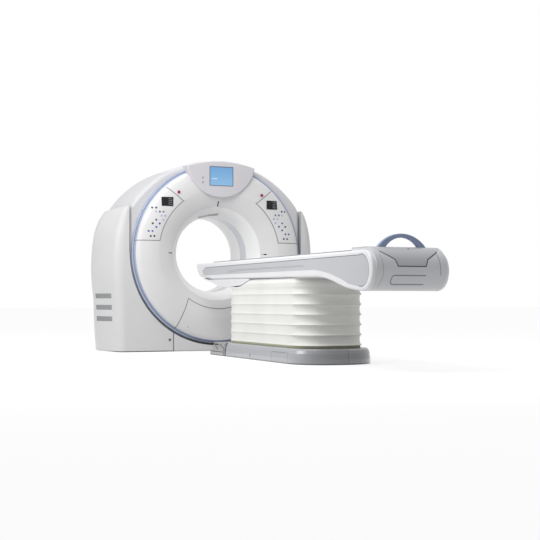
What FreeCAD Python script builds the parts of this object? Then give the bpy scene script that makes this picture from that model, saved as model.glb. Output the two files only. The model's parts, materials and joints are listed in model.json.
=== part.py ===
"""A CT scanner: a tilting gantry with its rotor, and the patient couch before it.

All sizes are in millimetres. The origin is on the floor under the isocentre.
+Z is up, the gantry's front looks along -Y and the couch reaches out that way,
and X runs across both. "Radius" on the gantry is measured from the bore's axis.
"""
import FreeCAD
import Part
import math
import os

# ---------------------------------------------------------------- driving sizes
# Gantry as a whole
BORE_R = 360.0           # clear radius of the patient tunnel
SHELL_HALF_W = 858.0     # half-width between the flat sides, and radius of the bottom
FLOOR_GAP = 58.0         # from the floor up to the upright shell
ISO_Z = FLOOR_GAP + SHELL_HALF_W   # height of the bore's axis and of the tilt axis
TILT_LIMIT = 30.0        # degrees each way
STAND_GAP = 8.0          # between the tilting unit's flat sides and the stands
SEAM = 0.8               # between two fixed covers that meet
SKIN = 5.0               # wall of the moulded covers
FLARE_WALL = SKIN * 1.6  # the same where a flared wall is cut square to the bore
FLOAT = 0.3              # rest gap between a moving piece and its neighbour
SHAFT_FIT = 0.05         # radial clearance of a shaft in its bearing

# Tilting unit: outline of its shell
ARCH_Z = ISO_Z - 94.0    # height of the roof arch's centre
ARCH_HALF_W = SHELL_HALF_W + 156.0   # half-width and rise of the ellipse that the roof follows
ARCH_RISE = SHELL_HALF_W + 117.0
SIDE_CORNER_R = 160.0    # rounding between the flat sides and the roof
SHELL_FRONT_Y = -318.0
SHELL_REAR_Y = 500.0
REAR_SEAM_Y = 385.0
FRONT_EDGE_R = 38.0      # rounding of the shell's front edge
REAR_EDGE_R = 75.0       # rounding of the shell's rear edge
SWEEP_R = SHELL_HALF_W + 44.0      # the lower half stays inside this radius about the tilt axis

# Trim ring round the front face
TRIM_OUT_R = SHELL_HALF_W - 14.0
TRIM_W = 18.0
TRIM_FRONT_Y = -336.0
TRIM_EDGE_Y = -328.0
TRIM_CREST = 2.0         # how far the ring's crest stands out between its edges

# Front face: radius and depth (y) of the points that its profile runs through
FACE_R = TRIM_OUT_R - TRIM_W
FACE_RIM = (FACE_R, -334.0)
FACE_SHOULDER_MID = (FACE_R - 22.0, -380.0)
FACE_SHOULDER = (FACE_R - 64.0, -401.0)
FACE_CROWN = (FACE_R - 136.0, -411.0)
FACE_INNER = (FACE_R - 226.0, -403.0)
FACE_THROAT = (BORE_R + 83.0, -319.0)
FACE_SLOPE_MID = ((FACE_INNER[0] + FACE_THROAT[0]) / 2 - 5.5, -367.0)
LINER_MID = (BORE_R + 28.0, -238.0)
TUNNEL_FRONT_Y = -158.0
WINDOW_REAR_Y = -6.0
TUNNEL_REAR_Y = 155.0
REAR_MOUTH = (BORE_R + 160.0, SHELL_REAR_Y - 3.0)
REAR_FLARE_MID = (BORE_R + 32.0, 330.0)

# Console hood over the top of the front face
TRIM_TOP_Z = ISO_Z + TRIM_OUT_R
HOOD_TIP = (336.0, TRIM_TOP_Z - 60.0)
HOOD_SHOULDER = (340.0, TRIM_TOP_Z - 29.0)
HOOD_CREST_Z = TRIM_TOP_Z + 25.0
HOOD_BOTTOM_Z = TRIM_TOP_Z - 321.0
HOOD_FRONT_Y = -431.0
HOOD_REAR_Y = -296.0
HOOD_EDGE_R = 14.0
SCREEN_W = 232.0
SCREEN_H = 178.0
SCREEN_Z = TRIM_TOP_Z - 120.0
SCREEN_RECESS = 3.0

# Control panels (the right one; the left is its mirror image)
PANEL_IN_R = 605.0
PANEL_TOP_OUT = (525.0, ISO_Z + 604.0)
PANEL_TOP_IN = (370.0, ISO_Z + 484.0)
PANEL_BOTTOM_Z = ISO_Z + 109.0
DISPLAY_X = 525.0
DISPLAY_Z = ISO_Z + 471.5
DISPLAY_W = 112.0
DISPLAY_H = 85.0
DISPLAY_PROUD = 1.5
KEY_R = 6.5
KEY_PROUD = 1.2
KEY_PITCH_X = 35.5
KEY_CROSS = 33.5
KEY_ROWS = (             # first key's x, and the row's height above the bore's axis
    (633.0, 412.0), (563.5, 375.0), (546.5, 339.0), (564.0, 300.0), (669.5, 194.5), (651.0, 149.0),
)
KEY_COUNTS = (2, 3, 2, 1, 2, 2)
KEY_CROSS_CENTRE = (633.5, 266.0)
STOP_X = 417.5
STOP_Z = ISO_Z + 562.0
STOP_CAP_R = 14.0
STOP_CAP_T = 9.0
STOP_STEM_R = 7.0
STOP_TRAVEL = 4.0

# Lower access panel in the front face
ACCESS_TOP_R = 520.0
ACCESS_TOP_X = 304.0
ACCESS_LOW_X = 435.0
ACCESS_LOW_Z = ISO_Z - 701.0

# Laser windows on the throat cone
LASER_IN_R = 450.0
LASER_OUT_R = 495.0
LASER_W = 11.0
LASER_PROUD = 1.0

# Stands: their plan is measured outwards from the flat inner face (out, y)
STAND_IN_X = SHELL_HALF_W + STAND_GAP
STAND_FRONT_Y = -335.0
STAND_REAR_Y = 480.0
STAND_FLAT_OUT = 49.0
STAND_CORNER_MID = (106.0, -315.0)
STAND_CORNER = (139.0, -272.0)
STAND_SIDE_MID = (196.0, -40.0)
STAND_WIDEST = (222.0, 150.0)
STAND_CHAMFER = (182.0, 330.0)
STAND_REAR_OUT = 89.0
STAND_LOW_Z = 8.0
STAND_SWELL_LOW = (                # height, and how much of the full swell is there
    (STAND_LOW_Z, 0.75), (140.0, 0.80), (320.0, 0.85), (560.0, 0.93),
)
STAND_SWELL_HIGH = (               # the same, with heights from the tilt axis
    (-216.0, 1.0), (-56.0, 1.0), (84.0, 0.95), (184.0, 0.87),
    (259.0, 0.76), (329.0, 0.60), (384.0, 0.42), (429.0, 0.13),
)
WELL_GAP = 20.0          # from the trim ring out to the front plates' round edge
WELL_R = TRIM_OUT_R + WELL_GAP
PLATE_SPLIT_X = 438.0    # seam between a side cover and the front lower panel
VENT_Z = (516.0, 410.0, 304.0)
VENT_H = 45.0
VENT_FRONT_Y = -226.0
VENT_REAR_Y = 112.0
VENT_IN = 60.0           # how far out from the stand's inner face a vent is cut
VENT_BAR = 5.0
VENT_GROOVE = 3.0        # depth of the grooves between a grille's slats
LATCH_X = PLATE_SPLIT_X + 38.0
LATCH_Z = 109.0
LATCH_R = 12.0
LATCH_HEAD_T = 5.0
LATCH_SLOT = (3.0, 2.0)  # width of the slot in a latch's head, and its floor's depth below the rim
LATCH_STEM_R = 6.0
BASE_PLATE_T = 6.0
BASE_PLATE_X = STAND_IN_X + 94.0
BASE_PLATE_FRONT_CORNER = (70.0, 60.0)     # cut off each front corner: across, along
BASE_PLATE_REAR_CORNER = (35.0, 76.0)
BASE_PLATE_FRONT_Y = -322.0
BASE_PLATE_REAR_Y = 466.0
ANCHOR_R = 9.0
GANTRY_ANCHOR_X = STAND_IN_X + 39.0
GANTRY_ANCHOR_Y = (-285.0, 405.0)
REAR_WELL_R = SHELL_HALF_W + 27.0   # radius of the rear panel's edge at its sides
REAR_PANEL_TOP_Z = 128.0 # its height in the middle, under the tilting unit's sweep
FRAME_IN_X = STAND_IN_X + 24.0
FRAME_T = 70.0
FRAME_FRONT_Y = -170.0
FRAME_REAR_Y = 230.0
FRAME_TOP_Z = ISO_Z + 144.0
FRAME_TOP_FRONT_Y = FRAME_FRONT_Y / 1.2
FRAME_TOP_REAR_Y = FRAME_REAR_Y / 1.6
FRAME_FOOT_T = 24.0
FRAME_SPREAD = 60.0      # how far the foot reaches past the upright
POCKET_LOW_Z = 130.0     # the lightening pocket in the upright, with its rim
POCKET_TOP_Z = ISO_Z - 276.0
POCKET_RIM = 20.0
POCKET_TOP_RIM = (60.0, 95.0)      # the same at its top: front, rear
POCKET_DEPTH = FRAME_T * 0.7
BRACKET_Z = (ISO_Z - 216.0, ISO_Z - 186.0)   # the cover's bracket on the upright
TRUNNION_R = 60.0
BEARING_R = 95.0
GEARBOX_W = 60.0         # tilt drive: width out from the frame, half-depth and heights
GEARBOX_HALF = 60.0
GEARBOX_Z = (ISO_Z - 226.0, ISO_Z - 116.0)
TILT_MOTOR_R = 28.0
TILT_MOTOR_L = 150.0

# Machinery of the tilting unit and the rotor
TILT_PLATE_Y = (222.0, 256.0)
TILT_PLATE_IN_R = 505.0
TILT_PLATE_R = SHELL_HALF_W - 58.0
TILT_ARM_IN_X = SHELL_HALF_W - 58.0
TILT_ARM_HALF = 150.0
ROTOR_IN_R = BORE_R + 40.0
ROTOR_R = SHELL_HALF_W - 118.0
ROTOR_Y = (100.0, 136.0)
HUB_R = 470.0
BEARING_SPLIT_R = HUB_R + 30.0
BEARING_OUT_R = BEARING_SPLIT_R + 35.0
BEARING_FRONT_Y = 150.0
RIM_WALL = 16.0
RIM_R = BEARING_OUT_R + 9.0 + RIM_WALL
BELT_Y = (172.0, 200.0)
BELT_T = 6.0
PULLEY_R = 45.0
PULLEY_REACH = TILT_PLATE_R - 92.893         # of its axis from the bore's, down to one side
PULLEY_X = PULLEY_REACH * math.sqrt(0.5)
PULLEY_DROP = PULLEY_X
PULLEY_SHAFT_R = 14.0
MOTOR_R = 70.0
MOTOR_L = 130.0
MOTOR_FINS = 5
MOTOR_FIN_H = 6.0
BRUSH_HALF_W = 60.0
BRUSH_ARM_T = 24.0
TUBE_CENTRE_R = 570.0
TUBE_R = 85.0
TUBE_FRONT_Y = -172.0
TUBE_END_R = 18.0        # rounding of the barrel's front end
TUBE_PORT_R = 40.0
TUBE_PORT_Y = -80.0
TUBE_PORT_H = 8.0
COLLIMATOR_TOP = (90.0, -130.0)    # half-width and front (y), at the port
COLLIMATOR_LOW = (120.0, -115.0)   # the same at its foot
COLLIMATOR_GAP = 50.0              # from its foot to the tunnel
DETECTOR_FOCUS_R = 1010.0
DETECTOR_T = 90.0
DETECTOR_HALF_FAN = 25.0
DETECTOR_FRONT_Y = -140.0
SLIP_RING_OUT_R = HUB_R - 30.0
SLIP_RING_T = 34.0
CABINET_X = (470.0, 640.0)
CABINET_Z = (ISO_Z - 60.0, ISO_Z + 270.0)
CABINET_EDGE_R = 20.0
CABINET_FRONT_Y = (-120.0, -90.0)  # of the right cabinet and of the left one

# Couch: side view of its side frames (y, z)
COLUMN_Y = -2095.0       # axis of the lift column
COUCH_HALF_W = 295.0
SIDE_T = 30.0
COUCH_TIP_Y = -546.0
COUCH_TOP_Z = 809.0
SIDE_NOSE = (-592.0, 729.5)
SIDE_NOSE_MID = (-632.0, 700.0)
SIDE_CHEEK = (-686.0, 688.0)
SIDE_BELLY = (-967.0, 659.0)
SIDE_REAR = (-3098.0, 641.5)
SIDE_SWEEP = (-3249.0, 624.0)
SIDE_DROP = (-3400.0, 590.0)
SIDE_HEEL = (-3590.0, 552.0)
FOOT_Y = -3781.0         # centre of the side frames' half-round foot end
FOOT_R = 136.0
SIDE_EDGE_R = 16.0
INLAY_DEPTH = 4.0
INLAY_T = 3.0
INLAY_TIP = (-709.5, 742.5)
INLAY_HEAD_TOP = (-798.0, 771.0)
INLAY_HEAD_LOW = (-754.0, 700.0)
INLAY_BEND = (-3027.0, 694.5)
INLAY_SWEEP = (-3310.0, 659.0)
INLAY_DROP = (-3579.0, 588.5)
INLAY_FOOT_LOW = (-3739.0, 567.0)
INLAY_END = (-3871.5, 690.0)
INLAY_FOOT_TOP = (-3729.0, 780.0)
CHIN_HEAD = (-716.0, 672.0)
CHIN_SHOULDER = (-860.0, 658.0)    # the chin's walls rise no higher behind this point
CHIN_HOLLOW_Y = -900.0
CHIN_KNEE = (-974.0, 629.5)
CHIN_FRONT = (-1122.5, 601.0)
CHIN_LOW = (-1428.5, 591.0)
CHIN_HEEL = (-1623.0, 599.0)
CHIN_REAR = (-1812.0, 640.0)
TRAY_T = 8.0
TRAY_FOOT_Z = 566.0
COLLAR_INSET = 9.0       # the lift's collar stands this far inside the bellows' ridges
COLLAR_WALL = 8.0
HOUSING_R = 147.5
HOUSING_Y = -3777.0
HOUSING_Z = 685.0
HOUSING_FRONT_Y = -3573.0
HOUSING_WALL = 7.0
HOUSING_RISE = 28.0      # by which the housing's underside is higher at its open front
HOUSING_LEDGE = 45.0     # height of the wall left below the housing's mouth
DECK_Z = 765.0
DECK_T = 5.0
DECK_SLOT = 166.0        # half-width of the slot that the carriage and the foot cover run in
DECK_HEAD = 8.0          # from the side frames' tip back to the deck's head end
DECK_LIP = 4.0
DECK_LIP_Z = 770.0
RAIL_X = 190.0
RAIL_W = 44.0
RAIL_LOW_Z = 678.0
RAIL_WALL = 14.0
RAIL_HEAD_Y = -606.0
RAIL_FOOT_Y = -3553.0
CROSS_Y = (-900.0, COLUMN_Y + 215.0, COLUMN_Y - 425.0, -3010.0)
CROSS_W = 50.0
CROSS_Z = (660.0, 684.0)

# Tabletop and what rides with it
TABLE_HALF_W = 235.0
TABLE_HEAD_Y = -773.0
TABLE_FOOT_Y = -3585.0
TABLE_EDGE_Z = (800.0, 820.0)
TABLE_DISH = 28.0
TABLE_HEAD_R = 90.0
TABLE_TRAVEL = 1900.0
FOOT_COVER_HALF_W = 217.0
FOOT_COVER_NECK = 125.0
FOOT_COVER_TONGUE = 105.0
FOOT_COVER_T = 6.0
FOOT_COVER_LIP_Z = 772.0  # lower edge of the wall that closes the cover against the tabletop
FOOT_COVER_WIDE_Z = 797.0
FOOT_COVER_NECK_Z = 745.0
FOOT_COVER_TONGUE_Z = 699.0
HANDLE_Y = -3776.0
HANDLE_HALF = 185.0
HANDLE_INNER_HALF = 122.0
HANDLE_TOP_Z = 923.0
HANDLE_INNER_TOP_Z = 895.0
HANDLE_W = 34.0
HANDLE_EDGE_R = 8.0
CARRIAGE_Y = (-3490.0, -3190.0)
CARRIAGE_HALF_W = 100.0
CARRIAGE_LOW_Z = 716.0
CARRIAGE_GAP = 8.0       # between the carriage and the tabletop's belly
WEB_HALF_W = 30.0        # the web that joins the foot cover to the carriage
WEB_H = 30.0
WEB_REACH = 17.0
WHEEL_R = 24.5
WHEEL_W = 18.0
WHEEL_Z = 717.0
WHEEL_SINK = 3.0         # how far a wheel's inner face lies inside its rail
AXLE_R = 10.0
SLIDE_MOTOR_R = 24.0
SLIDE_MOTOR_L = 120.0
SLIDE_MOTOR_SEAT = 16.0  # height of the block that the motor lies in
ROLLER_Y = -636.0
ROLLER_R = 22.0
ROLLER_HALF = 90.0
ROLLER_STUB_R = 7.0

# Lift column, bellows and base
BASE_TOP_Z = 116.0
BASE_HALF_W = 335.0
BASE_HEAD_Y = -1370.0
BASE_FOOT_Y = -2955.0
BASE_HEAD_CORNER = 40.0
BASE_FOOT_CORNER = 300.0
BASE_PROFILE = ((0.0, 0.0), (40.0, 1.0), (80.0, 6.0), (104.0, 14.0))   # height, and how far drawn in
BASE_DRAFT = 26.0
BASE_SKIN = 4.0
COUCH_PLATE_T = 18.0
COUCH_ANCHOR_X = 200.0
COUCH_ANCHOR_Y = (-1560.0, -2600.0)
BELLOWS_HALF_W = BASE_HALF_W - 43.0
BELLOWS_Y = (BASE_HEAD_Y - 5.0, BASE_FOOT_Y + 134.0)
BELLOWS_HEAD_CORNER = 40.0
BELLOWS_FOOT_CORNER = 200.0
BELLOWS_TOP_Z = 586.0
BELLOWS_RIDGE_Z = (143.0, 566.0)    # the lowest and the highest ridge
BELLOWS_RIDGES = 7
BELLOWS_DEPTH = 19.0
BELLOWS_FOLD = (                    # one fold: place along the pitch, and share of the depth
    (-0.10, 0.55), (0.0, 0.0), (0.12, 0.45), (0.38, 0.92), (0.66, 1.0),
)
BELLOWS_BAND_TOP = 0.14             # of a pitch below the lowest ridge
BELLOWS_TOP_SHARE = 0.7             # share of the depth at the top edge
BELLOWS_BAND = 21.0      # how far the plain band at the foot lies inside the ridges
BELLOWS_WALL = 9.0
COLUMN_OUT = (310.0, 520.0)        # across, along
COLUMN_WALL = 16.0
COLUMN_GAP = 2.0
COLUMN_EDGE_R = 24.0
COLUMN_OUT_TOP_Z = 325.0
COLUMN_MID_Z = (180.0, 480.0)
COLUMN_IN_LOW_Z = 336.0
COLUMN_CAP_T = 14.0
COLUMN_FOOT = 40.0       # reach and thickness of the outer column's foot flange
COLUMN_FOOT_T = 12.0
GLIDE_HALF_W = 60.0      # the pads at a stage's foot that slide in the stage outside it
GLIDE_H = 40.0
LIFT_DOWN = 300.0
LIFT_UP = 100.0
LIFT_DRIVE_Y = COLUMN_Y + 380.0
LIFT_BOX = (140.0, 120.0, 90.0)    # gearbox of the lift's drive: across, along, high
LIFT_MOTOR_R = 38.0
LIFT_MOTOR_L = 110.0
LIFT_SHAFT_R = 12.0
SERVICE_Y = (BASE_FOOT_Y + 605.0, BASE_FOOT_Y + 315.0)
SERVICE_Z = (16.0, 84.0)

# Footswitch
SWITCH_X = (3.0 - BASE_HALF_W, 213.0 - BASE_HALF_W)
SWITCH_Y = (BASE_HEAD_Y, BASE_HEAD_Y + 370.0)
SWITCH_CORNER_R = 30.0
SWITCH_ROOF_BACK = 90.0            # from the tray's front edge back to the roof's
CHEEK_BACK = (60.0, 130.0)         # the same to a cheek's front edge: at the tray, at the roof
SWITCH_TRAY_Z = 34.0
SWITCH_ROOF_Z = 112.0
SWITCH_SHEET = 4.0
PEDAL_W = 82.0
PEDAL_PIN_Y = SWITCH_Y[0] + 160.0
PEDAL_PIN_Z = 60.0
PEDAL_PIN_R = 5.0
PEDAL_ARM = 130.0
PEDAL_HALF_T = 3.0       # half the plate's thickness at the pin
PEDAL_TREAD = (22.0, 16.0)         # top and underside of the tread above the pin, at the arm's end
PEDAL_TOE = (22.0, 12.0)           # the toe's reach past the arm's end, and its height above the pin

X_AXIS = FreeCAD.Vector(1, 0, 0)
Y_AXIS = FreeCAD.Vector(0, 1, 0)
Z_AXIS = FreeCAD.Vector(0, 0, 1)
ISOCENTRE = FreeCAD.Vector(0, 0, ISO_Z)


# ---------------------------------------------------------------- shape helpers
def vec(x, y, z):
    return FreeCAD.Vector(x, y, z)


def block(x0, x1, y0, y1, z0, z1):
    """A box between two opposite corners, in any order."""
    corner = vec(min(x0, x1), min(y0, y1), min(z0, z1))
    return Part.makeBox(abs(x1 - x0), abs(y1 - y0), abs(z1 - z0), corner)


def rod(x, y, z, radius, length, direction):
    return Part.makeCylinder(radius, length, vec(x, y, z), direction)


def mirrored(shape):
    """The same piece on the other side of the bore's axis."""
    return shape.mirror(vec(0, 0, 0), X_AXIS)


def arc(start, middle, end):
    return Part.Arc(start, middle, end).toShape()


def line(start, end):
    return Part.LineSegment(start, end).toShape()


def roof_arc(half_w, rise, reach):
    """The upper stretch of an ellipse about the roof arch's centre, out to |x| = reach."""
    centre = vec(0, 0, ARCH_Z)
    ellipse = Part.Ellipse(centre + vec(half_w, 0, 0), centre + vec(0, 0, rise), centre)
    start = math.acos(reach / half_w)
    return Part.ArcOfEllipse(ellipse, start, math.pi - start).toShape()


def roof_height(half_w, rise, x):
    """Height of that ellipse at x."""
    return ARCH_Z + rise * math.sqrt(1 - (x / half_w) ** 2)


def polygon_face(points):
    return Part.Face(Part.makePolygon(list(points) + [points[0]]))


def prism(face, direction, length):
    return face.extrude(FreeCAD.Vector(direction).multiply(length))


def profile_point(pair):
    """A (radius, y) pair as a point in the half-plane that is turned round the bore."""
    return vec(pair[0], pair[1], ISO_Z)


def turned(edges):
    """The closed profile turned once round the bore's axis."""
    face = Part.Face(Part.Wire(edges))
    return face.revolve(ISOCENTRE, Y_AXIS, 360)


def ring(inner_r, outer_r, y0, y1):
    """A plain ring round the bore's axis."""
    low = min(y0, y1)
    height = abs(y1 - y0)
    outer = rod(0, low, ISO_Z, outer_r, height, Y_AXIS)
    return outer.cut(rod(0, low, ISO_Z, inner_r, height, Y_AXIS))


def group(shapes):
    return Part.makeCompound(list(shapes))


def pair(shape):
    """The right piece and its mirror image on the left, as one group."""
    return group(shape.Solids + mirrored(shape).Solids)


def solids_of(shape):
    """A boolean result as one solid, or as a group where it has several."""
    parts = shape.Solids
    return parts[0] if len(parts) == 1 else group(parts)


# ---------------------------------------------------------------- the front face
def face_edges(shift):
    """The front face's profile from its rim to the throat, moved along y by shift."""
    moved = [
        vec(r, y + shift, ISO_Z)
        for r, y in (FACE_RIM, FACE_SHOULDER_MID, FACE_SHOULDER, FACE_CROWN,
                     FACE_INNER, FACE_SLOPE_MID, FACE_THROAT)
    ]
    return [
        arc(moved[0], moved[1], moved[2]),
        arc(moved[2], moved[3], moved[4]),
        arc(moved[4], moved[5], moved[6]),
    ]


def between_profiles(front_shift, rear_shift):
    """The layer of the front face between two shifts of its profile."""
    front = face_edges(front_shift)
    rear = face_edges(rear_shift)
    rim = line(vec(FACE_RIM[0], FACE_RIM[1] + front_shift, ISO_Z),
               vec(FACE_RIM[0], FACE_RIM[1] + rear_shift, ISO_Z))
    throat = line(vec(FACE_THROAT[0], FACE_THROAT[1] + front_shift, ISO_Z),
                  vec(FACE_THROAT[0], FACE_THROAT[1] + rear_shift, ISO_Z))
    return turned(Part.__sortEdges__(front + rear + [rim, throat]))


def cover_ring():
    """The whole moulded front ring, before its panels are parted from it."""
    front = face_edges(0)
    inner_throat = vec(FACE_THROAT[0], FACE_THROAT[1] + FLARE_WALL, ISO_Z)
    inner = [
        inner_throat,
        vec(FACE_INNER[0], FACE_INNER[1] + SKIN * 1.2, ISO_Z),
        vec(FACE_SHOULDER[0], FACE_SHOULDER[1] + SKIN * 1.4, ISO_Z),
        vec(FACE_RIM[0] - SKIN, FACE_RIM[1] + SKIN, ISO_Z),
        vec(FACE_RIM[0] - SKIN, SHELL_FRONT_Y, ISO_Z),
        vec(FACE_RIM[0], SHELL_FRONT_Y, ISO_Z),
        vec(FACE_RIM[0], FACE_RIM[1], ISO_Z),
    ]
    edges = front + [line(profile_point(FACE_THROAT), inner_throat)]
    edges += [line(a, b) for a, b in zip(inner, inner[1:])]
    return turned(Part.__sortEdges__(edges))


def behind_face():
    """Everything behind the front face: what the console hood sits against."""
    deep = HOOD_REAR_Y + SKIN
    before_trim = TRIM_FRONT_Y - TRIM_CREST * 2
    corners = [
        profile_point(FACE_THROAT),
        vec(FACE_THROAT[0], deep, ISO_Z),
        vec(TRIM_OUT_R + SEAM, deep, ISO_Z),
        vec(TRIM_OUT_R + SEAM, before_trim, ISO_Z),
        vec(FACE_RIM[0], before_trim, ISO_Z),
        profile_point(FACE_RIM),
    ]
    edges = face_edges(0) + [line(a, b) for a, b in zip(corners, corners[1:])]
    return turned(Part.__sortEdges__(edges))


def front_prism(face):
    """An outline in the front plane, carried through the whole depth of the face."""
    depth = HOOD_FRONT_Y - SKIN
    placed = face.copy()
    placed.translate(vec(0, depth, 0))
    return prism(placed, Y_AXIS, HOOD_REAR_Y - depth)


def xz(x, z):
    return vec(x, 0, z)


def control_outline(inset):
    """Outline of the right control panel: a straight top and bottom, and a curved inner side."""
    ux = PANEL_TOP_OUT[0] - PANEL_TOP_IN[0]
    uz = PANEL_TOP_OUT[1] - PANEL_TOP_IN[1]
    length = math.hypot(ux, uz)
    shift_x = inset * uz / length
    shift_z = -inset * ux / length
    top_in = (PANEL_TOP_IN[0] + shift_x, PANEL_TOP_IN[1] + shift_z)
    reach = 2.0
    far = (top_in[0] + ux * reach, top_in[1] + uz * reach)
    near = (top_in[0] - ux * reach, top_in[1] - uz * reach)
    bottom = PANEL_BOTTOM_Z + inset
    half_plane = polygon_face([
        xz(near[0], near[1]), xz(far[0], far[1]),
        xz(SHELL_HALF_W + far[0], bottom), xz(near[0], bottom),
    ])
    hole = Part.Face(Part.Wire(Part.makeCircle(PANEL_IN_R + inset, ISOCENTRE, Y_AXIS)))
    disc = Part.Face(Part.Wire(Part.makeCircle(FACE_RIM[0] - inset, ISOCENTRE, Y_AXIS)))
    return half_plane.cut(hole).common(disc)


def access_outline(inset):
    """Outline of the lower access panel: an arc on top and two sloping sides."""
    top_z = ISO_Z - math.sqrt(ACCESS_TOP_R ** 2 - ACCESS_TOP_X ** 2)
    slope = (ACCESS_LOW_X - ACCESS_TOP_X) / (top_z - ACCESS_LOW_Z)
    side = inset * math.hypot(1, slope)
    low_z = ACCESS_LOW_Z - ACCESS_TOP_X
    low_x = ACCESS_LOW_X + slope * ACCESS_TOP_X - side
    high_x = ACCESS_TOP_X - slope * ACCESS_TOP_X - side
    high_z = top_z + ACCESS_TOP_X
    wedge = polygon_face([
        xz(-high_x, high_z), xz(high_x, high_z), xz(low_x, low_z), xz(-low_x, low_z),
    ])
    hole = Part.Face(Part.Wire(Part.makeCircle(ACCESS_TOP_R + inset, ISOCENTRE, Y_AXIS)))
    disc = Part.Face(Part.Wire(Part.makeCircle(FACE_RIM[0] - inset, ISOCENTRE, Y_AXIS)))
    lower = wedge.cut(hole).common(disc)
    return lower.common(polygon_face([
        xz(-FACE_RIM[0], ISO_Z), xz(FACE_RIM[0], ISO_Z),
        xz(FACE_RIM[0], low_z), xz(-FACE_RIM[0], low_z),
    ]))


def stop_hole():
    hole = rod(STOP_X, HOOD_FRONT_Y, STOP_Z, STOP_STEM_R + FLOAT, -HOOD_FRONT_Y, Y_AXIS)
    return hole


def front_cover():
    """The moulded ring with the openings for its three panels and two stops."""
    cover = cover_ring()
    control = front_prism(control_outline(0))
    stop = stop_hole()
    for tool in (control, mirrored(control), front_prism(access_outline(0)), stop, mirrored(stop)):
        cover = cover.cut(tool)
    return solids_of(cover)


def control_panel():
    return solids_of(cover_ring().common(front_prism(control_outline(SEAM))))


def access_panel():
    return solids_of(cover_ring().common(front_prism(access_outline(SEAM))))


def on_face(tool, proud):
    """A thin piece that lies on the front face where the tool meets it."""
    return solids_of(between_profiles(-proud, 0).common(tool))


def display():
    window = block(DISPLAY_X - DISPLAY_W / 2, DISPLAY_X + DISPLAY_W / 2, HOOD_FRONT_Y, HOOD_REAR_Y,
                   DISPLAY_Z - DISPLAY_H / 2, DISPLAY_Z + DISPLAY_H / 2)
    return on_face(window, DISPLAY_PROUD)


def key_places():
    """Centres (x, z) of the right panel's keys: the rows, and the cross of four."""
    places = []
    for (first_x, rise), count in zip(KEY_ROWS, KEY_COUNTS):
        places += [(first_x + KEY_PITCH_X * i, ISO_Z + rise) for i in range(count)]
    cx, rise = KEY_CROSS_CENTRE
    places += [(cx + dx * KEY_CROSS, ISO_Z + rise + dz * KEY_CROSS)
               for dx, dz in ((1, 0), (-1, 0), (0, 1), (0, -1))]
    return places


def keypad():
    """The low round keys of one membrane keypad."""
    posts = group(
        rod(x, HOOD_FRONT_Y, z, KEY_R, HOOD_REAR_Y - HOOD_FRONT_Y, Y_AXIS)
        for x, z in key_places()
    )
    return on_face(posts, KEY_PROUD)


def face_y(radius):
    """Depth of the front face's crown at a radius, from the arc through its three points."""
    (x0, y0), (x1, y1), (x2, y2) = FACE_SHOULDER, FACE_CROWN, FACE_INNER
    d = 2 * (x0 * (y1 - y2) + x1 * (y2 - y0) + x2 * (y0 - y1))
    s0, s1, s2 = x0 ** 2 + y0 ** 2, x1 ** 2 + y1 ** 2, x2 ** 2 + y2 ** 2
    cx = (s0 * (y1 - y2) + s1 * (y2 - y0) + s2 * (y0 - y1)) / d
    cy = (s0 * (x2 - x1) + s1 * (x0 - x2) + s2 * (x1 - x0)) / d
    arc_r = math.hypot(x0 - cx, y0 - cy)
    return cy - math.sqrt(arc_r ** 2 - (radius - cx) ** 2)


def emergency_stop():
    """A mushroom cap on its stem, free to travel into the cover."""
    radius = math.hypot(STOP_X, STOP_Z - ISO_Z)
    surface = min(face_y(radius), face_y(radius - STOP_CAP_R), face_y(radius + STOP_CAP_R))
    back = surface - STOP_TRAVEL - FLOAT
    stem_end = surface + SKIN * 2
    front = back - STOP_CAP_T
    cap = rod(STOP_X, front, STOP_Z, STOP_CAP_R, STOP_CAP_T, Y_AXIS)
    rim = [e for e in cap.Edges if e.BoundBox.YMax < front + FLOAT]
    cap = cap.makeChamfer(STOP_CAP_T / 3, rim)
    stem = rod(STOP_X, back, STOP_Z, STOP_STEM_R, stem_end - back, Y_AXIS)
    return cap.fuse(stem).removeSplitter()


def laser_windows():
    """The three dark slots that the positioning lights shine through."""
    slots = []
    reach = LASER_OUT_R - LASER_IN_R
    for turn in (0, 90, -90):
        slot = block(-LASER_W / 2, LASER_W / 2, HOOD_FRONT_Y, HOOD_REAR_Y,
                     ISO_Z + LASER_IN_R, ISO_Z + LASER_IN_R + reach)
        slot.rotate(ISOCENTRE, Y_AXIS, turn)
        slots.append(slot)
    return on_face(group(slots), LASER_PROUD)


def trim_ring():
    """The coloured ring in the joint between the front cover and the outer shell."""
    inner = FACE_RIM[0] + SEAM
    corner = vec(TRIM_OUT_R, TRIM_EDGE_Y, ISO_Z)
    crest = vec((inner + TRIM_OUT_R) / 2, TRIM_FRONT_Y - TRIM_CREST, ISO_Z)
    start = vec(inner, TRIM_FRONT_Y + TRIM_CREST, ISO_Z)
    back = SHELL_FRONT_Y + SKIN * 2
    edges = [
        arc(start, crest, corner),
        line(corner, vec(TRIM_OUT_R, back, ISO_Z)),
        line(vec(TRIM_OUT_R, back, ISO_Z), vec(inner, back, ISO_Z)),
        line(vec(inner, back, ISO_Z), start),
    ]
    return turned(edges)


# ---------------------------------------------------------------- the tilting shell
def shell_outline(inset):
    """Front view of the tilting unit: round below, flat sides and an arched roof."""
    half = SHELL_HALF_W - inset
    side_top = roof_height(ARCH_HALF_W - inset, ARCH_RISE - inset, half)
    edges = [
        roof_arc(ARCH_HALF_W - inset, ARCH_RISE - inset, half),
        line(xz(-half, side_top), xz(-half, ISO_Z)),
        arc(xz(-half, ISO_Z), xz(0, ISO_Z - half), xz(half, ISO_Z)),
        line(xz(half, ISO_Z), xz(half, side_top)),
    ]
    return Part.Face(Part.Wire(edges))


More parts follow.
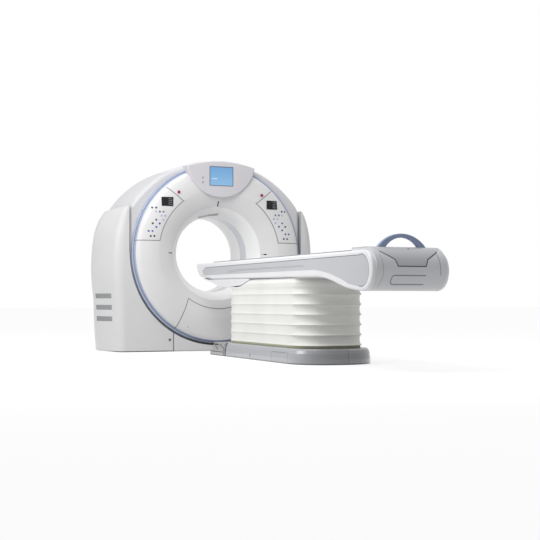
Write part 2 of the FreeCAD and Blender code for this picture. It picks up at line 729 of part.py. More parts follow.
def swept_space(inset):
    """Where the tilting unit may be: anywhere above its axis, inside the sweep below it."""
    reach = SHELL_HALF_W * 2
    above = block(-reach, reach, -reach, reach, ISO_Z, ISO_Z + reach)
    below = rod(-reach, 0, ISO_Z, SWEEP_R - inset, reach * 2, X_AXIS)
    return above.fuse(below)


def shell_body(inset):
    """The tilting unit's outer form, solid, drawn in by inset on every side."""
    face = shell_outline(inset)
    front = SHELL_FRONT_Y + inset
    rear = SHELL_REAR_Y - inset
    face.translate(vec(0, front, 0))
    body = prism(face, Y_AXIS, rear - front)
    side_corners = [e for e in body.Edges if e.BoundBox.YLength > 1 and e.BoundBox.ZMin > ISO_Z + 1]
    body = body.makeFillet(SIDE_CORNER_R - inset, side_corners)
    front_edges = [e for e in body.Edges if e.BoundBox.YMax < front + 0.1]
    body = body.makeFillet(FRONT_EDGE_R - inset, front_edges)
    rear_edges = [e for e in body.Edges if e.BoundBox.YMin > rear - 0.1]
    body = body.makeFillet(REAR_EDGE_R - inset, rear_edges)
    return body.common(swept_space(inset))


def shell_wall():
    """The shell's moulded wall, open at the front ring and at the rear mouth."""
    wall = shell_body(0).cut(shell_body(SKIN))
    front_hole = rod(0, SHELL_FRONT_Y * 2, ISO_Z, TRIM_OUT_R + SEAM, -SHELL_FRONT_Y * 1.5, Y_AXIS)
    rear_hole = rod(0, REAR_SEAM_Y, ISO_Z, REAR_MOUTH[0], SHELL_REAR_Y, Y_AXIS)
    wall = wall.cut(front_hole).cut(rear_hole)
    trunnion_hole = rod(-SHELL_HALF_W * 2, 0, ISO_Z, TRUNNION_R + STAND_GAP, SHELL_HALF_W * 4, X_AXIS)
    return wall.cut(trunnion_hole)


def shell_halves():
    """The wall parted at the rear seam into the outer shell and the rear cover."""
    wall = shell_wall()
    reach = SHELL_HALF_W * 2
    front = block(-reach, reach, -reach, REAR_SEAM_Y - SEAM / 2, -reach, reach * 2)
    rear = block(-reach, reach, REAR_SEAM_Y + SEAM / 2, reach, -reach, reach * 2)
    return solids_of(wall.common(front)), solids_of(wall.common(rear))


def console_hood(screen_space):
    """The eye-shaped hood over the top of the ring, seated on the face and the shell."""
    tip_x, tip_z = HOOD_TIP
    shoulder_x, shoulder_z = HOOD_SHOULDER
    edges = [
        arc(xz(-tip_x, tip_z), xz(0, HOOD_BOTTOM_Z), xz(tip_x, tip_z)),
        line(xz(tip_x, tip_z), xz(shoulder_x, shoulder_z)),
        arc(xz(shoulder_x, shoulder_z), xz(0, HOOD_CREST_Z), xz(-shoulder_x, shoulder_z)),
        line(xz(-shoulder_x, shoulder_z), xz(-tip_x, tip_z)),
    ]
    outline = Part.Face(Part.Wire(edges))
    outline.translate(vec(0, HOOD_FRONT_Y, 0))
    hood = prism(outline, Y_AXIS, HOOD_REAR_Y - HOOD_FRONT_Y)
    front_edges = [e for e in hood.Edges if e.BoundBox.YMax < HOOD_FRONT_Y + 0.1]
    hood = hood.makeFillet(HOOD_EDGE_R, front_edges)
    hood = hood.cut(behind_face()).cut(shell_body(0))
    return solids_of(hood.cut(screen_space))


def screen_block(inset, depth):
    return block(-SCREEN_W / 2 + inset, SCREEN_W / 2 - inset, HOOD_FRONT_Y, HOOD_FRONT_Y + depth,
                 SCREEN_Z - SCREEN_H / 2 + inset, SCREEN_Z + SCREEN_H / 2 - inset)


def console_screen():
    return screen_block(SEAM / 2, SCREEN_RECESS)


# ---------------------------------------------------------------- the patient tunnel
def front_liner():
    """The flare from the front cover's throat down to the scan window."""
    start = profile_point((FACE_THROAT[0] - SEAM, FACE_THROAT[1]))
    end = profile_point((BORE_R, TUNNEL_FRONT_Y))
    back_start = start + vec(0, FLARE_WALL, 0)
    back_middle = profile_point((LINER_MID[0] + SKIN, LINER_MID[1] + SKIN / 2))
    back_end = end + vec(SKIN, 0, 0)
    edges = [
        arc(start, profile_point(LINER_MID), end), line(end, back_end),
        arc(back_end, back_middle, back_start), line(back_start, start),
    ]
    return turned(edges)


def scan_window():
    """The thin band that the beam passes through."""
    return ring(BORE_R, BORE_R + SKIN, TUNNEL_FRONT_Y + SEAM, WINDOW_REAR_Y - SEAM)


def rear_liner():
    """The plain rear half of the tunnel and its flare to the rear cover."""
    front = profile_point((BORE_R, WINDOW_REAR_Y))
    bend = profile_point((BORE_R, TUNNEL_REAR_Y))
    mouth = profile_point((REAR_MOUTH[0] - SEAM, REAR_MOUTH[1]))
    back_mouth = mouth - vec(0, FLARE_WALL, 0)
    back_middle = profile_point((REAR_FLARE_MID[0] + SKIN, REAR_FLARE_MID[1] - SKIN / 2))
    back_bend = bend + vec(SKIN, 0, 0)
    back_front = front + vec(SKIN, 0, 0)
    edges = [
        line(front, bend), arc(bend, profile_point(REAR_FLARE_MID), mouth), line(mouth, back_mouth),
        arc(back_mouth, back_middle, back_bend), line(back_bend, back_front), line(back_front, front),
    ]
    return turned(edges)


# ---------------------------------------------------------------- machinery of the gantry
def tilt_frame():
    """The welded ring that carries everything that tilts, with its arms and trunnions."""
    y0, y1 = TILT_PLATE_Y
    plate = rod(0, y0, ISO_Z, TILT_PLATE_R, y1 - y0, Y_AXIS)
    inner_side = SHELL_HALF_W - SKIN
    band = block(-inner_side, inner_side, y0, y1, ISO_Z - TILT_ARM_HALF, ISO_Z + TILT_ARM_HALF)
    inside = shell_body(SKIN)
    frame = plate.fuse(band.common(inside)).cut(rod(0, y0, ISO_Z, TILT_PLATE_IN_R, y1 - y0, Y_AXIS))
    for side in (1, -1):
        arm = block(side * TILT_ARM_IN_X, side * inner_side, -TRUNNION_R * 1.5, y0,
                    ISO_Z - TILT_ARM_HALF, ISO_Z + TILT_ARM_HALF)
        reach = FRAME_IN_X + FRAME_T - inner_side
        trunnion = rod(side * inner_side, 0, ISO_Z, TRUNNION_R, reach, vec(side, 0, 0))
        frame = frame.fuse(arm.common(inside)).fuse(trunnion)
    pulley_space = rod(PULLEY_X, y0, ISO_Z - PULLEY_DROP, PULLEY_SHAFT_R, y1 - y0, Y_AXIS)
    return frame.cut(pulley_space).removeSplitter()


def rotor_disc():
    """The turning plate with its hub for the bearing and its rim for the belt."""
    y0, y1 = ROTOR_Y
    plate = ring(ROTOR_IN_R, ROTOR_R, y0, y1)
    hub = ring(SLIP_RING_OUT_R, HUB_R, y1, TILT_PLATE_Y[0] - SKIN)
    rim = ring(RIM_R - RIM_WALL, RIM_R, y1, BELT_Y[1] + SKIN)
    return plate.fuse(hub).fuse(rim).removeSplitter()


def bearing_inner():
    return ring(HUB_R, BEARING_SPLIT_R - FLOAT, BEARING_FRONT_Y, TILT_PLATE_Y[0] - SKIN)


def bearing_outer():
    return ring(BEARING_SPLIT_R, BEARING_OUT_R, BEARING_FRONT_Y, TILT_PLATE_Y[0])


def slip_ring():
    return ring(SLIP_RING_OUT_R - SLIP_RING_T, SLIP_RING_OUT_R, ROTOR_Y[1], TILT_PLATE_Y[0] - SKIN)


def brush_block():
    """The contact block on the tilt frame's inner edge, just clear of the slip ring."""
    y0 = TILT_PLATE_Y[0] - SKIN + FLOAT
    low = ISO_Z + SLIP_RING_OUT_R - SLIP_RING_T
    high = ISO_Z + TILT_PLATE_IN_R + SLIP_RING_T
    plate_back = TILT_PLATE_Y[1]
    arm = block(-BRUSH_HALF_W, BRUSH_HALF_W, plate_back, plate_back + BRUSH_ARM_T, low, high)
    head = block(-BRUSH_HALF_W, BRUSH_HALF_W, y0, plate_back, low, ISO_Z + SLIP_RING_OUT_R)
    return arm.fuse(head).removeSplitter()


def belt_outline(grow):
    """Round the rotor's rim and the motor's pulley, with the two straight runs between."""
    big = RIM_R + grow
    small = PULLEY_R + grow
    span = math.hypot(PULLEY_X, PULLEY_DROP)
    turn = math.acos((big - small) / span)
    aim = math.atan2(-PULLEY_DROP, PULLEY_X)

    def at(centre, radius, angle):
        return xz(centre[0] + radius * math.cos(angle), centre[1] + radius * math.sin(angle))

    rotor = (0, ISO_Z)
    pulley = (PULLEY_X, ISO_Z - PULLEY_DROP)
    edges = [
        arc(at(rotor, big, aim + turn), at(rotor, big, aim + math.pi), at(rotor, big, aim - turn)),
        line(at(rotor, big, aim - turn), at(pulley, small, aim - turn)),
        arc(at(pulley, small, aim - turn), at(pulley, small, aim), at(pulley, small, aim + turn)),
        line(at(pulley, small, aim + turn), at(rotor, big, aim + turn)),
    ]
    return Part.Face(Part.Wire(edges))


def drive_belt():
    outer = belt_outline(FLOAT + BELT_T)
    inner = belt_outline(FLOAT)
    for face in (outer, inner):
        face.translate(vec(0, BELT_Y[0], 0))
    width = BELT_Y[1] - BELT_Y[0]
    return prism(outer, Y_AXIS, width).cut(prism(inner, Y_AXIS, width))


def drive_pulley():
    """A flanged pulley on the motor's shaft."""
    z = ISO_Z - PULLEY_DROP
    body = rod(PULLEY_X, BELT_Y[0], z, PULLEY_R, BELT_Y[1] - BELT_Y[0], Y_AXIS)
    length = TILT_PLATE_Y[1] - BELT_Y[1]
    shaft = rod(PULLEY_X, BELT_Y[1], z, PULLEY_SHAFT_R - SHAFT_FIT, length, Y_AXIS)
    return body.fuse(shaft).removeSplitter()


def rotor_motor():
    """The motor on the back of the tilt frame's plate, with its finned barrel."""
    z = ISO_Z - PULLEY_DROP
    back = TILT_PLATE_Y[1]
    body = rod(PULLEY_X, back, z, MOTOR_R - MOTOR_FIN_H, MOTOR_L, Y_AXIS)
    pitch = MOTOR_L / MOTOR_FINS
    for i in range(MOTOR_FINS):
        body = body.fuse(rod(PULLEY_X, back + i * pitch, z, MOTOR_R, pitch / 2, Y_AXIS))
    return body.removeSplitter()


def xray_tube():
    """The tube's housing: a barrel along the bore's axis with a port towards the isocentre."""
    z = ISO_Z + TUBE_CENTRE_R
    barrel = rod(0, TUBE_FRONT_Y, z, TUBE_R, ROTOR_Y[0] - TUBE_FRONT_Y, Y_AXIS)
    front_edge = [e for e in barrel.Edges if e.BoundBox.YMax < TUBE_FRONT_Y + 0.1]
    barrel = barrel.makeFillet(TUBE_END_R, front_edge)
    port = rod(0, TUBE_PORT_Y, z - TUBE_R - TUBE_PORT_H, TUBE_PORT_R, TUBE_R, Z_AXIS)
    return barrel.fuse(port).fuse(collimator()).removeSplitter()


def collimator():
    """The box below the port that narrows the beam to a fan."""
    wires = []
    for (half, front), z in (
        (COLLIMATOR_LOW, ISO_Z + BORE_R + COLLIMATOR_GAP),
        (COLLIMATOR_TOP, ISO_Z + TUBE_CENTRE_R - TUBE_R - TUBE_PORT_H),
    ):
        back = ROTOR_Y[0]
        points = [vec(-half, front, z), vec(half, front, z), vec(half, back, z), vec(-half, back, z)]
        wires.append(Part.makePolygon(points + [points[0]]))
    return Part.makeLoft(wires, True, True)


def detector_arc():
    """The curved detector opposite the tube, on an arc about the tube's focus."""
    focus = vec(0, DETECTOR_FRONT_Y, ISO_Z + TUBE_CENTRE_R)
    half = math.radians(DETECTOR_HALF_FAN)
    near = DETECTOR_FOCUS_R
    far = DETECTOR_FOCUS_R + DETECTOR_T

    def at(radius, angle):
        return focus + vec(radius * math.sin(angle), 0, -radius * math.cos(angle))

    edges = [
        arc(at(near, -half), at(near, 0), at(near, half)),
        line(at(near, half), at(far, half)),
        arc(at(far, half), at(far, 0), at(far, -half)),
        line(at(far, -half), at(near, -half)),
    ]
    return prism(Part.Face(Part.Wire(edges)), Y_AXIS, ROTOR_Y[0] - DETECTOR_FRONT_Y)


def rotor_cabinet(side, front_y):
    """A cabinet bolted to the side of the rotor's plate."""
    x0, x1 = CABINET_X
    box = block(side * x0, side * x1, front_y, ROTOR_Y[0], CABINET_Z[0], CABINET_Z[1])
    corners = [e for e in box.Edges if e.BoundBox.YLength > 1]
    return box.makeFillet(CABINET_EDGE_R, corners)


# ---------------------------------------------------------------- the stands
def stand_section(z, swell, inset):
    """Plan outline of a stand at one height, drawn in by inset."""
    inner = STAND_IN_X + inset
    width = STAND_WIDEST[0] * swell
    narrowed = (width - 2 * inset) / width

    def out(reach):
        return inner + reach * swell * narrowed

    front = STAND_FRONT_Y + inset
    rear = STAND_REAR_Y - inset
    points = [
        vec(inner, front, z),
        vec(out(STAND_FLAT_OUT), front, z),
        vec(out(STAND_CORNER[0]), STAND_CORNER[1] + inset / 2, z),
        vec(out(STAND_SIDE_MID[0]), STAND_SIDE_MID[1], z),
        vec(out(STAND_WIDEST[0]), STAND_WIDEST[1], z),
        vec(out(STAND_CHAMFER[0]), STAND_CHAMFER[1], z),
        vec(out(STAND_REAR_OUT), rear, z),
        vec(inner, rear, z),
    ]
    corner = arc(points[1], vec(out(STAND_CORNER_MID[0]), STAND_CORNER_MID[1] + inset, z), points[2])
    side = arc(points[2], points[3], points[4])
    edges = [
        line(points[0], points[1]), corner, side, line(points[4], points[5]),
        line(points[5], points[6]), line(points[6], points[7]), line(points[7], points[0]),
    ]
    return Part.Wire(edges)


def stand_body(inset):
    """A stand's outer form, drawn in by inset."""
    levels = list(STAND_SWELL_LOW) + [(ISO_Z + rise, swell) for rise, swell in STAND_SWELL_HIGH]
    levels[0] = (levels[0][0] - inset * 4, levels[0][1])
    levels[-1] = (levels[-1][0] - inset, levels[-1][1])
    sections = [stand_section(z, swell, inset) for z, swell in levels]
    return Part.makeLoft(sections, True, False)


def well_disc(y0, y1):
    return rod(0, y0, ISO_Z, WELL_R, y1 - y0, Y_AXIS)


def front_plate_half():
    """The flat front skirt that runs from the stand in under the tilting unit."""
    plate = block(PLATE_SPLIT_X + SEAM / 2, STAND_IN_X + SKIN, STAND_FRONT_Y, STAND_FRONT_Y + SKIN,
                  STAND_LOW_Z, ISO_Z)
    return plate.cut(well_disc(STAND_FRONT_Y - SKIN, STAND_FRONT_Y + SKIN * 2))


def vent_opening(z, grow):
    return block(STAND_IN_X + VENT_IN, STAND_IN_X + STAND_WIDEST[0] * 2,
                 VENT_FRONT_Y - grow, VENT_REAR_Y + grow, z - VENT_H / 2 - grow, z + VENT_H / 2 + grow)


def side_cover():
    """The right stand's hollow cover with its skirt, vents and the holes it needs."""
    body = stand_body(0).cut(stand_body(SKIN)).fuse(front_plate_half())
    for z in VENT_Z:
        body = body.cut(vent_opening(z, 0))
    trunnion_hole = rod(SHELL_HALF_W, 0, ISO_Z, TRUNNION_R + STAND_GAP, STAND_GAP + SKIN * 2, X_AXIS)
    latch_hole = rod(LATCH_X, STAND_FRONT_Y - SKIN, LATCH_Z, LATCH_STEM_R + SHAFT_FIT, SKIN * 3, Y_AXIS)
    return solids_of(body.cut(trunnion_hole).cut(latch_hole))


def vent_grille():
    """Three louvred inserts, set flush in the side cover, with grooves between their slats."""
    wall = stand_body(FLOAT).cut(stand_body(SKIN + FLOAT))
    groove_floor = stand_body(FLOAT + VENT_GROOVE)
    inserts = []
    for z in VENT_Z:
        field = wall.common(vent_opening(z, -FLOAT))
        gaps = int(VENT_H // (2 * VENT_BAR))
        pitch = VENT_H / gaps
        for i in range(gaps):
            low = z - VENT_H / 2 + pitch * i + VENT_BAR / 2
            groove = block(STAND_IN_X, STAND_IN_X + STAND_WIDEST[0] * 2, VENT_FRONT_Y + VENT_BAR,
                           VENT_REAR_Y - VENT_BAR, low, low + pitch - VENT_BAR)
            field = field.cut(groove.cut(groove_floor))
        inserts += field.Solids
    return group(inserts)


def front_lower_panel():
    """The middle of the front skirt, under the tilting unit."""
    half = PLATE_SPLIT_X - SEAM / 2
    panel = block(-half, half, STAND_FRONT_Y, STAND_FRONT_Y + SKIN, STAND_LOW_Z, ISO_Z)
    panel = panel.cut(well_disc(STAND_FRONT_Y - SKIN, STAND_FRONT_Y + SKIN * 2))
    foot = block(-half, half, STAND_FRONT_Y, BASE_PLATE_FRONT_Y, 0, STAND_LOW_Z)
    return panel.fuse(foot).removeSplitter()


def rear_lower_panel():
    """The rear skirt: low under the tilting unit, with a horn up beside it at each stand."""
    half = STAND_IN_X - SEAM
    front = STAND_REAR_Y - SKIN
    horns = block(-half, half, front, STAND_REAR_Y, STAND_LOW_Z, ISO_Z)
    horns = horns.cut(rod(0, front - SKIN, ISO_Z, REAR_WELL_R, SKIN * 3, Y_AXIS))
    strip = block(-half, half, front, STAND_REAR_Y, STAND_LOW_Z, REAR_PANEL_TOP_Z)
    panel = horns.fuse(strip)
    foot = block(-half, half, BASE_PLATE_REAR_Y, STAND_REAR_Y, 0, STAND_LOW_Z)
    return panel.fuse(foot).removeSplitter()


def anchor_holes(x, ys, depth):
    holes = []
    for side in (1, -1):
        holes += [rod(side * x, y, -depth, ANCHOR_R, depth * 2, Z_AXIS) for y in ys]
    return group(holes)


def gantry_base_plate():
    front_cut_x, front_cut_y = BASE_PLATE_FRONT_CORNER
    rear_cut_x, rear_cut_y = BASE_PLATE_REAR_CORNER
    right = [
        vec(BASE_PLATE_X - front_cut_x, BASE_PLATE_FRONT_Y, 0),
        vec(BASE_PLATE_X, BASE_PLATE_FRONT_Y + front_cut_y, 0),
        vec(BASE_PLATE_X, BASE_PLATE_REAR_Y - rear_cut_y, 0),
        vec(BASE_PLATE_X - rear_cut_x, BASE_PLATE_REAR_Y, 0),
    ]
    left = [vec(-p.x, p.y, 0) for p in reversed(right)]
    plate = prism(polygon_face(right + left), Z_AXIS, BASE_PLATE_T)
    return plate.cut(anchor_holes(GANTRY_ANCHOR_X, GANTRY_ANCHOR_Y, BASE_PLATE_T))


def stand_frame():
    """The right stand's welded frame: a tapering upright, its foot and the bearing's boss."""
    x0, x1 = FRAME_IN_X, FRAME_IN_X + FRAME_T
    front = FRAME_FRONT_Y - FRAME_SPREAD
    rear = FRAME_REAR_Y + FRAME_SPREAD
    foot_top = BASE_PLATE_T + FRAME_FOOT_T
    outline = polygon_face([
        vec(x0, front, foot_top), vec(x0, rear, foot_top),
        vec(x0, FRAME_TOP_REAR_Y, FRAME_TOP_Z), vec(x0, FRAME_TOP_FRONT_Y, FRAME_TOP_Z),
    ])
    upright = prism(outline, X_AXIS, FRAME_T)
    window = polygon_face([
        vec(x0, FRAME_FRONT_Y + POCKET_RIM, POCKET_LOW_Z),
        vec(x0, FRAME_REAR_Y - POCKET_RIM, POCKET_LOW_Z),
        vec(x0, FRAME_REAR_Y - POCKET_TOP_RIM[1], POCKET_TOP_Z),
        vec(x0, FRAME_FRONT_Y + POCKET_TOP_RIM[0], POCKET_TOP_Z),
    ])
    pocket = prism(window, X_AXIS, POCKET_DEPTH)
    foot = block(x0, x1, front, rear, BASE_PLATE_T, foot_top)
    bracket = block(STAND_IN_X + SKIN, x0, FRAME_FRONT_Y, FRAME_REAR_Y, BRACKET_Z[0], BRACKET_Z[1])
    frame = upright.cut(pocket).fuse(foot).fuse(bracket)
    seat = rod(x0 - 1, 0, ISO_Z, BEARING_R, FRAME_T + 2, X_AXIS)
    return frame.cut(seat).removeSplitter()


def tilt_bearing():
    """The ring in the stand frame that a trunnion turns in."""
    outer = rod(FRAME_IN_X, 0, ISO_Z, BEARING_R, FRAME_T, X_AXIS)
    return outer.cut(rod(FRAME_IN_X, 0, ISO_Z, TRUNNION_R + SHAFT_FIT, FRAME_T, X_AXIS))


def tilt_gearmotor():
    """The tilt drive on the outside of the right frame: gearbox and motor."""
    x0 = FRAME_IN_X + FRAME_T
    low, top = GEARBOX_Z
    gearbox = block(x0, x0 + GEARBOX_W, -GEARBOX_HALF, GEARBOX_HALF, low, top)
    motor = rod(x0 + GEARBOX_W / 2, 0, low - TILT_MOTOR_L, TILT_MOTOR_R, TILT_MOTOR_L, Z_AXIS)
    return gearbox.fuse(motor).removeSplitter()


def cover_latch():
    """A quarter-turn lock: a slotted head on a stem through the skirt."""
    slot_w, slot_floor = LATCH_SLOT
    head = rod(LATCH_X, STAND_FRONT_Y - FLOAT - LATCH_HEAD_T, LATCH_Z, LATCH_R, LATCH_HEAD_T, Y_AXIS)
    slot = block(LATCH_X - LATCH_R, LATCH_X + LATCH_R, STAND_FRONT_Y - LATCH_HEAD_T * 2,
                 STAND_FRONT_Y - LATCH_HEAD_T + slot_floor, LATCH_Z - slot_w / 2, LATCH_Z + slot_w / 2)
    stem = rod(LATCH_X, STAND_FRONT_Y - FLOAT, LATCH_Z, LATCH_STEM_R, SKIN * 2 + FLOAT, Y_AXIS)
    tongue = block(LATCH_X - LATCH_STEM_R, LATCH_X + LATCH_R * 1.5, STAND_FRONT_Y + SKIN + FLOAT,
                   STAND_FRONT_Y + SKIN * 2, LATCH_Z - LATCH_STEM_R, LATCH_Z + LATCH_STEM_R)
    return head.cut(slot).fuse(stem).fuse(tongue).removeSplitter()


# ---------------------------------------------------------------- the couch top
def yz(pair, x=0.0):
    return vec(x, pair[0], pair[1])


def side_outline(x):
    """Side view of the couch's side frame as a closed wire at one x."""
    foot_end = (FOOT_Y - FOOT_R, COUCH_TOP_Z - FOOT_R)
    foot_top = (FOOT_Y, COUCH_TOP_Z)
    foot_low = (FOOT_Y, COUCH_TOP_Z - 2 * FOOT_R)
    tip = (COUCH_TIP_Y, COUCH_TOP_Z)
    edges = [
        line(yz(foot_top, x), yz(tip, x)),
        line(yz(tip, x), yz(SIDE_NOSE, x)),
        arc(yz(SIDE_NOSE, x), yz(SIDE_NOSE_MID, x), yz(SIDE_CHEEK, x)),
        line(yz(SIDE_CHEEK, x), yz(SIDE_BELLY, x)),
        line(yz(SIDE_BELLY, x), yz(SIDE_REAR, x)),
        arc(yz(SIDE_REAR, x), yz(SIDE_SWEEP, x), yz(SIDE_DROP, x)),
        arc(yz(SIDE_DROP, x), yz(SIDE_HEEL, x), yz(foot_low, x)),
        arc(yz(foot_low, x), yz(foot_end, x), yz(foot_top, x)),
    ]
    return Part.Wire(edges)


def raised(pair, rise):
    return (pair[0], pair[1] + rise)


def inlay_outline(x, inset):
    """Side view of the grey inlay: a pointed head, a straight band and a round foot."""
    tip = yz((INLAY_TIP[0] - inset, INLAY_TIP[1]), x)
    top_head = yz(raised(INLAY_HEAD_TOP, -inset), x)
    top_foot = yz(raised(INLAY_FOOT_TOP, -inset), x)
    end = yz((INLAY_END[0] + inset, INLAY_END[1]), x)
    low_foot = yz(raised(INLAY_FOOT_LOW, inset), x)
    drop = yz(raised(INLAY_DROP, inset), x)
    sweep = yz(raised(INLAY_SWEEP, inset), x)
    bend = yz(raised(INLAY_BEND, inset), x)
    low_head = yz(raised(INLAY_HEAD_LOW, inset), x)
    edges = [
        line(tip, top_head), line(top_head, top_foot), arc(top_foot, end, low_foot),
        line(low_foot, drop), arc(drop, sweep, bend), line(bend, low_head), line(low_head, tip),
    ]
    return Part.Wire(edges)


def side_frame():
    """The right side frame: a thick moulded side with a recess for its inlay."""
    inner = COUCH_HALF_W - SIDE_T
    panel = prism(Part.Face(side_outline(inner)), X_AXIS, SIDE_T)
    outer_edges = [e for e in panel.Edges if e.BoundBox.XMin > COUCH_HALF_W - FLOAT]
    panel = panel.makeFillet(SIDE_EDGE_R, outer_edges)
    recess = prism(Part.Face(inlay_outline(COUCH_HALF_W - INLAY_DEPTH, 0)), X_AXIS, INLAY_DEPTH * 2)
    return panel.cut(recess)


def side_inlay():
    return prism(Part.Face(inlay_outline(COUCH_HALF_W - INLAY_DEPTH, SEAM)), X_AXIS, INLAY_T)


def chin_outline(inset, front, front_top, top_z):
    """Side view of the chin cover's underside, drawn in by inset and closed along its top."""
    rear = (CHIN_REAR[0] + inset, CHIN_REAR[1] + inset)
    knee = raised(CHIN_KNEE, inset)
    low = raised(CHIN_LOW, inset)
    heel = raised(CHIN_HEEL, inset)
    edges = [
        line(yz(front), yz(knee)),
        arc(yz(knee), yz(raised(CHIN_FRONT, inset)), yz(low)),
        line(yz(low), yz(heel)),
        line(yz(heel), yz(rear)),
        line(yz(rear), yz((rear[0], top_z))),
        line(yz((rear[0], top_z)), yz((front_top[0], top_z))),
    ]
    if front_top[0] != front[0]:
        edges.append(line(yz((front_top[0], top_z)), yz(raised(front, SKIN))))
        edges.append(line(yz(raised(front, SKIN)), yz(front)))
    else:
        edges.append(line(yz((front_top[0], top_z)), yz(front)))
    return Part.Face(Part.Wire(edges))


def across(face, half):
    """A side view carried across the couch, from -half to +half."""
    body = prism(face, X_AXIS, half * 2)
    body.translate(vec(-half, 0, 0))
    return body


def chin_cover():
    """The moulded chin under the couch's head end, open from above."""
    half = COUCH_HALF_W - INLAY_DEPTH
    hollow_front = (CHIN_HOLLOW_Y, CHIN_SHOULDER[1] - SKIN)
    shell = across(chin_outline(0, CHIN_HEAD, CHIN_SHOULDER, CHIN_SHOULDER[1]), half)
    hollow = across(chin_outline(SKIN, hollow_front, hollow_front, CHIN_SHOULDER[1] + SKIN), half - SKIN)
    side = prism(Part.Face(side_outline(COUCH_HALF_W - SIDE_T - SEAM)), X_AXIS, SIDE_T * 2)
    return solids_of(shell.cut(hollow).cut(side).cut(mirrored(side)))


def under_tray():
    """The bent plate that closes the couch from below, from the chin to the foot end."""
    half = COUCH_HALF_W - SIDE_T - SEAM
    start = (CHIN_REAR[0] - SEAM, SIDE_REAR[1])
    foot = (HOUSING_FRONT_Y + SEAM, TRAY_FOOT_Z)
    low = [start, SIDE_REAR, SIDE_SWEEP, SIDE_DROP, foot]
    high = [raised(p, TRAY_T) for p in low]
    edges = [
        line(yz(low[0]), yz(low[1])),
        arc(yz(low[1]), yz(low[2]), yz(low[3])),
        line(yz(low[3]), yz(low[4])),
        line(yz(low[4]), yz(high[4])),
        line(yz(high[4]), yz(high[3])),
        arc(yz(high[3]), yz(high[2]), yz(high[1])),
        line(yz(high[1]), yz(high[0])),
        line(yz(high[0]), yz(low[0])),
    ]
    return across(Part.Face(Part.Wire(edges)), half)


def lift_collar():
    """The plain collar between the under tray and the top of the bellows, cut to the chin's heel."""
    foot_y = BELLOWS_Y[1]
    outline = polygon_face([
        yz((CHIN_HEEL[0] - SEAM, BELLOWS_TOP_Z)), yz((CHIN_HEEL[0] - SEAM, CHIN_HEEL[1] - SEAM)),
        yz((CHIN_REAR[0] - SEAM, CHIN_REAR[1])), yz((CHIN_REAR[0] - SEAM, SIDE_REAR[1])),
        yz((foot_y, SIDE_REAR[1])), yz((foot_y, BELLOWS_TOP_Z)),
    ])
    outer = prism(Part.Face(bellows_section(BELLOWS_TOP_Z, COLLAR_INSET)), Z_AXIS, LIFT_UP)
    inner = prism(Part.Face(bellows_section(BELLOWS_TOP_Z, COLLAR_INSET + COLLAR_WALL)), Z_AXIS, LIFT_UP)
    return across(outline, BELLOWS_HALF_W).common(outer.cut(inner))


def frame_rails():
    """Two rails along the couch with the cross-members that join them to the sides."""
    top = DECK_Z - DECK_T
    beams = []
    for side in (1, -1):
        x0 = side * (RAIL_X - RAIL_W / 2)
        x1 = side * (RAIL_X + RAIL_W / 2)
        rail = block(x0, x1, RAIL_HEAD_Y, RAIL_FOOT_Y, RAIL_LOW_Z, top)
        channel = block(x0, x0 + side * (RAIL_W - RAIL_WALL), RAIL_HEAD_Y, RAIL_FOOT_Y,
                        RAIL_LOW_Z + RAIL_WALL, top - RAIL_WALL)
        beams.append(rail.cut(channel))
    inner = COUCH_HALF_W - SIDE_T
    frame = beams[0].fuse(beams[1])
    for y in CROSS_Y:
        frame = frame.fuse(block(-inner, inner, y - CROSS_W / 2, y + CROSS_W / 2, CROSS_Z[0], CROSS_Z[1]))
    return frame.removeSplitter()


def deck():
    """The two deck strips beside the carriage's slot, joined at the head end."""
    inner = COUCH_HALF_W - SIDE_T
    y_head = COUCH_TIP_Y - DECK_HEAD
    y_foot = HOUSING_FRONT_Y + SEAM
    apron_z = SIDE_NOSE[1] + RAIL_WALL
    plate = block(-inner, inner, y_head, y_foot, DECK_Z - DECK_T, DECK_Z)
    slot = block(-DECK_SLOT, DECK_SLOT, TABLE_HEAD_Y, y_foot, DECK_Z - DECK_T, DECK_Z)
    roller_slot = block(-DECK_SLOT, DECK_SLOT, ROLLER_Y - ROLLER_R - SKIN, ROLLER_Y + ROLLER_R + SKIN,
                        DECK_Z - DECK_T, DECK_Z)
    apron = block(-inner, inner, y_head - DECK_T, y_head, apron_z, DECK_Z)
    lip = block(-inner, inner, y_head, y_head + DECK_LIP, apron_z, DECK_LIP_Z)
    return plate.cut(slot).cut(roller_slot).fuse(apron).fuse(lip).removeSplitter()


def housing_profile(inset):
    """Side view of the foot-end housing: straight walls and a half-round end."""
    radius = HOUSING_R - inset
    top, low = HOUSING_Z + radius, HOUSING_Z - radius
    edges = [
        line(yz((HOUSING_FRONT_Y, top)), yz((HOUSING_Y, top))),
        arc(yz((HOUSING_Y, top)), yz((HOUSING_Y - radius, HOUSING_Z)), yz((HOUSING_Y, low))),
        line(yz((HOUSING_Y, low)), yz((HOUSING_FRONT_Y, low + HOUSING_RISE))),
        line(yz((HOUSING_FRONT_Y, low + HOUSING_RISE)), yz((HOUSING_FRONT_Y, top))),
    ]
    return Part.Face(Part.Wire(edges))


def foot_cover_space(grow):
    """What the moving foot cover takes out of the housing, seen from the end."""
    wide = FOOT_COVER_HALF_W + grow
    neck = FOOT_COVER_NECK + grow
    tongue = FOOT_COVER_TONGUE + grow
    top = HANDLE_TOP_Z
    right = [
        (wide, top), (wide, FOOT_COVER_WIDE_Z - grow), (neck, FOOT_COVER_NECK_Z - grow),
        (tongue, FOOT_COVER_TONGUE_Z - grow),
    ]
    outline = polygon_face([xz(x, z) for x, z in right] + [xz(-x, z) for x, z in reversed(right)])
    end_y = HOUSING_Y - HOUSING_R * 2
    outline.translate(vec(0, end_y, 0))
    return prism(outline, Y_AXIS, COUCH_TIP_Y - end_y)


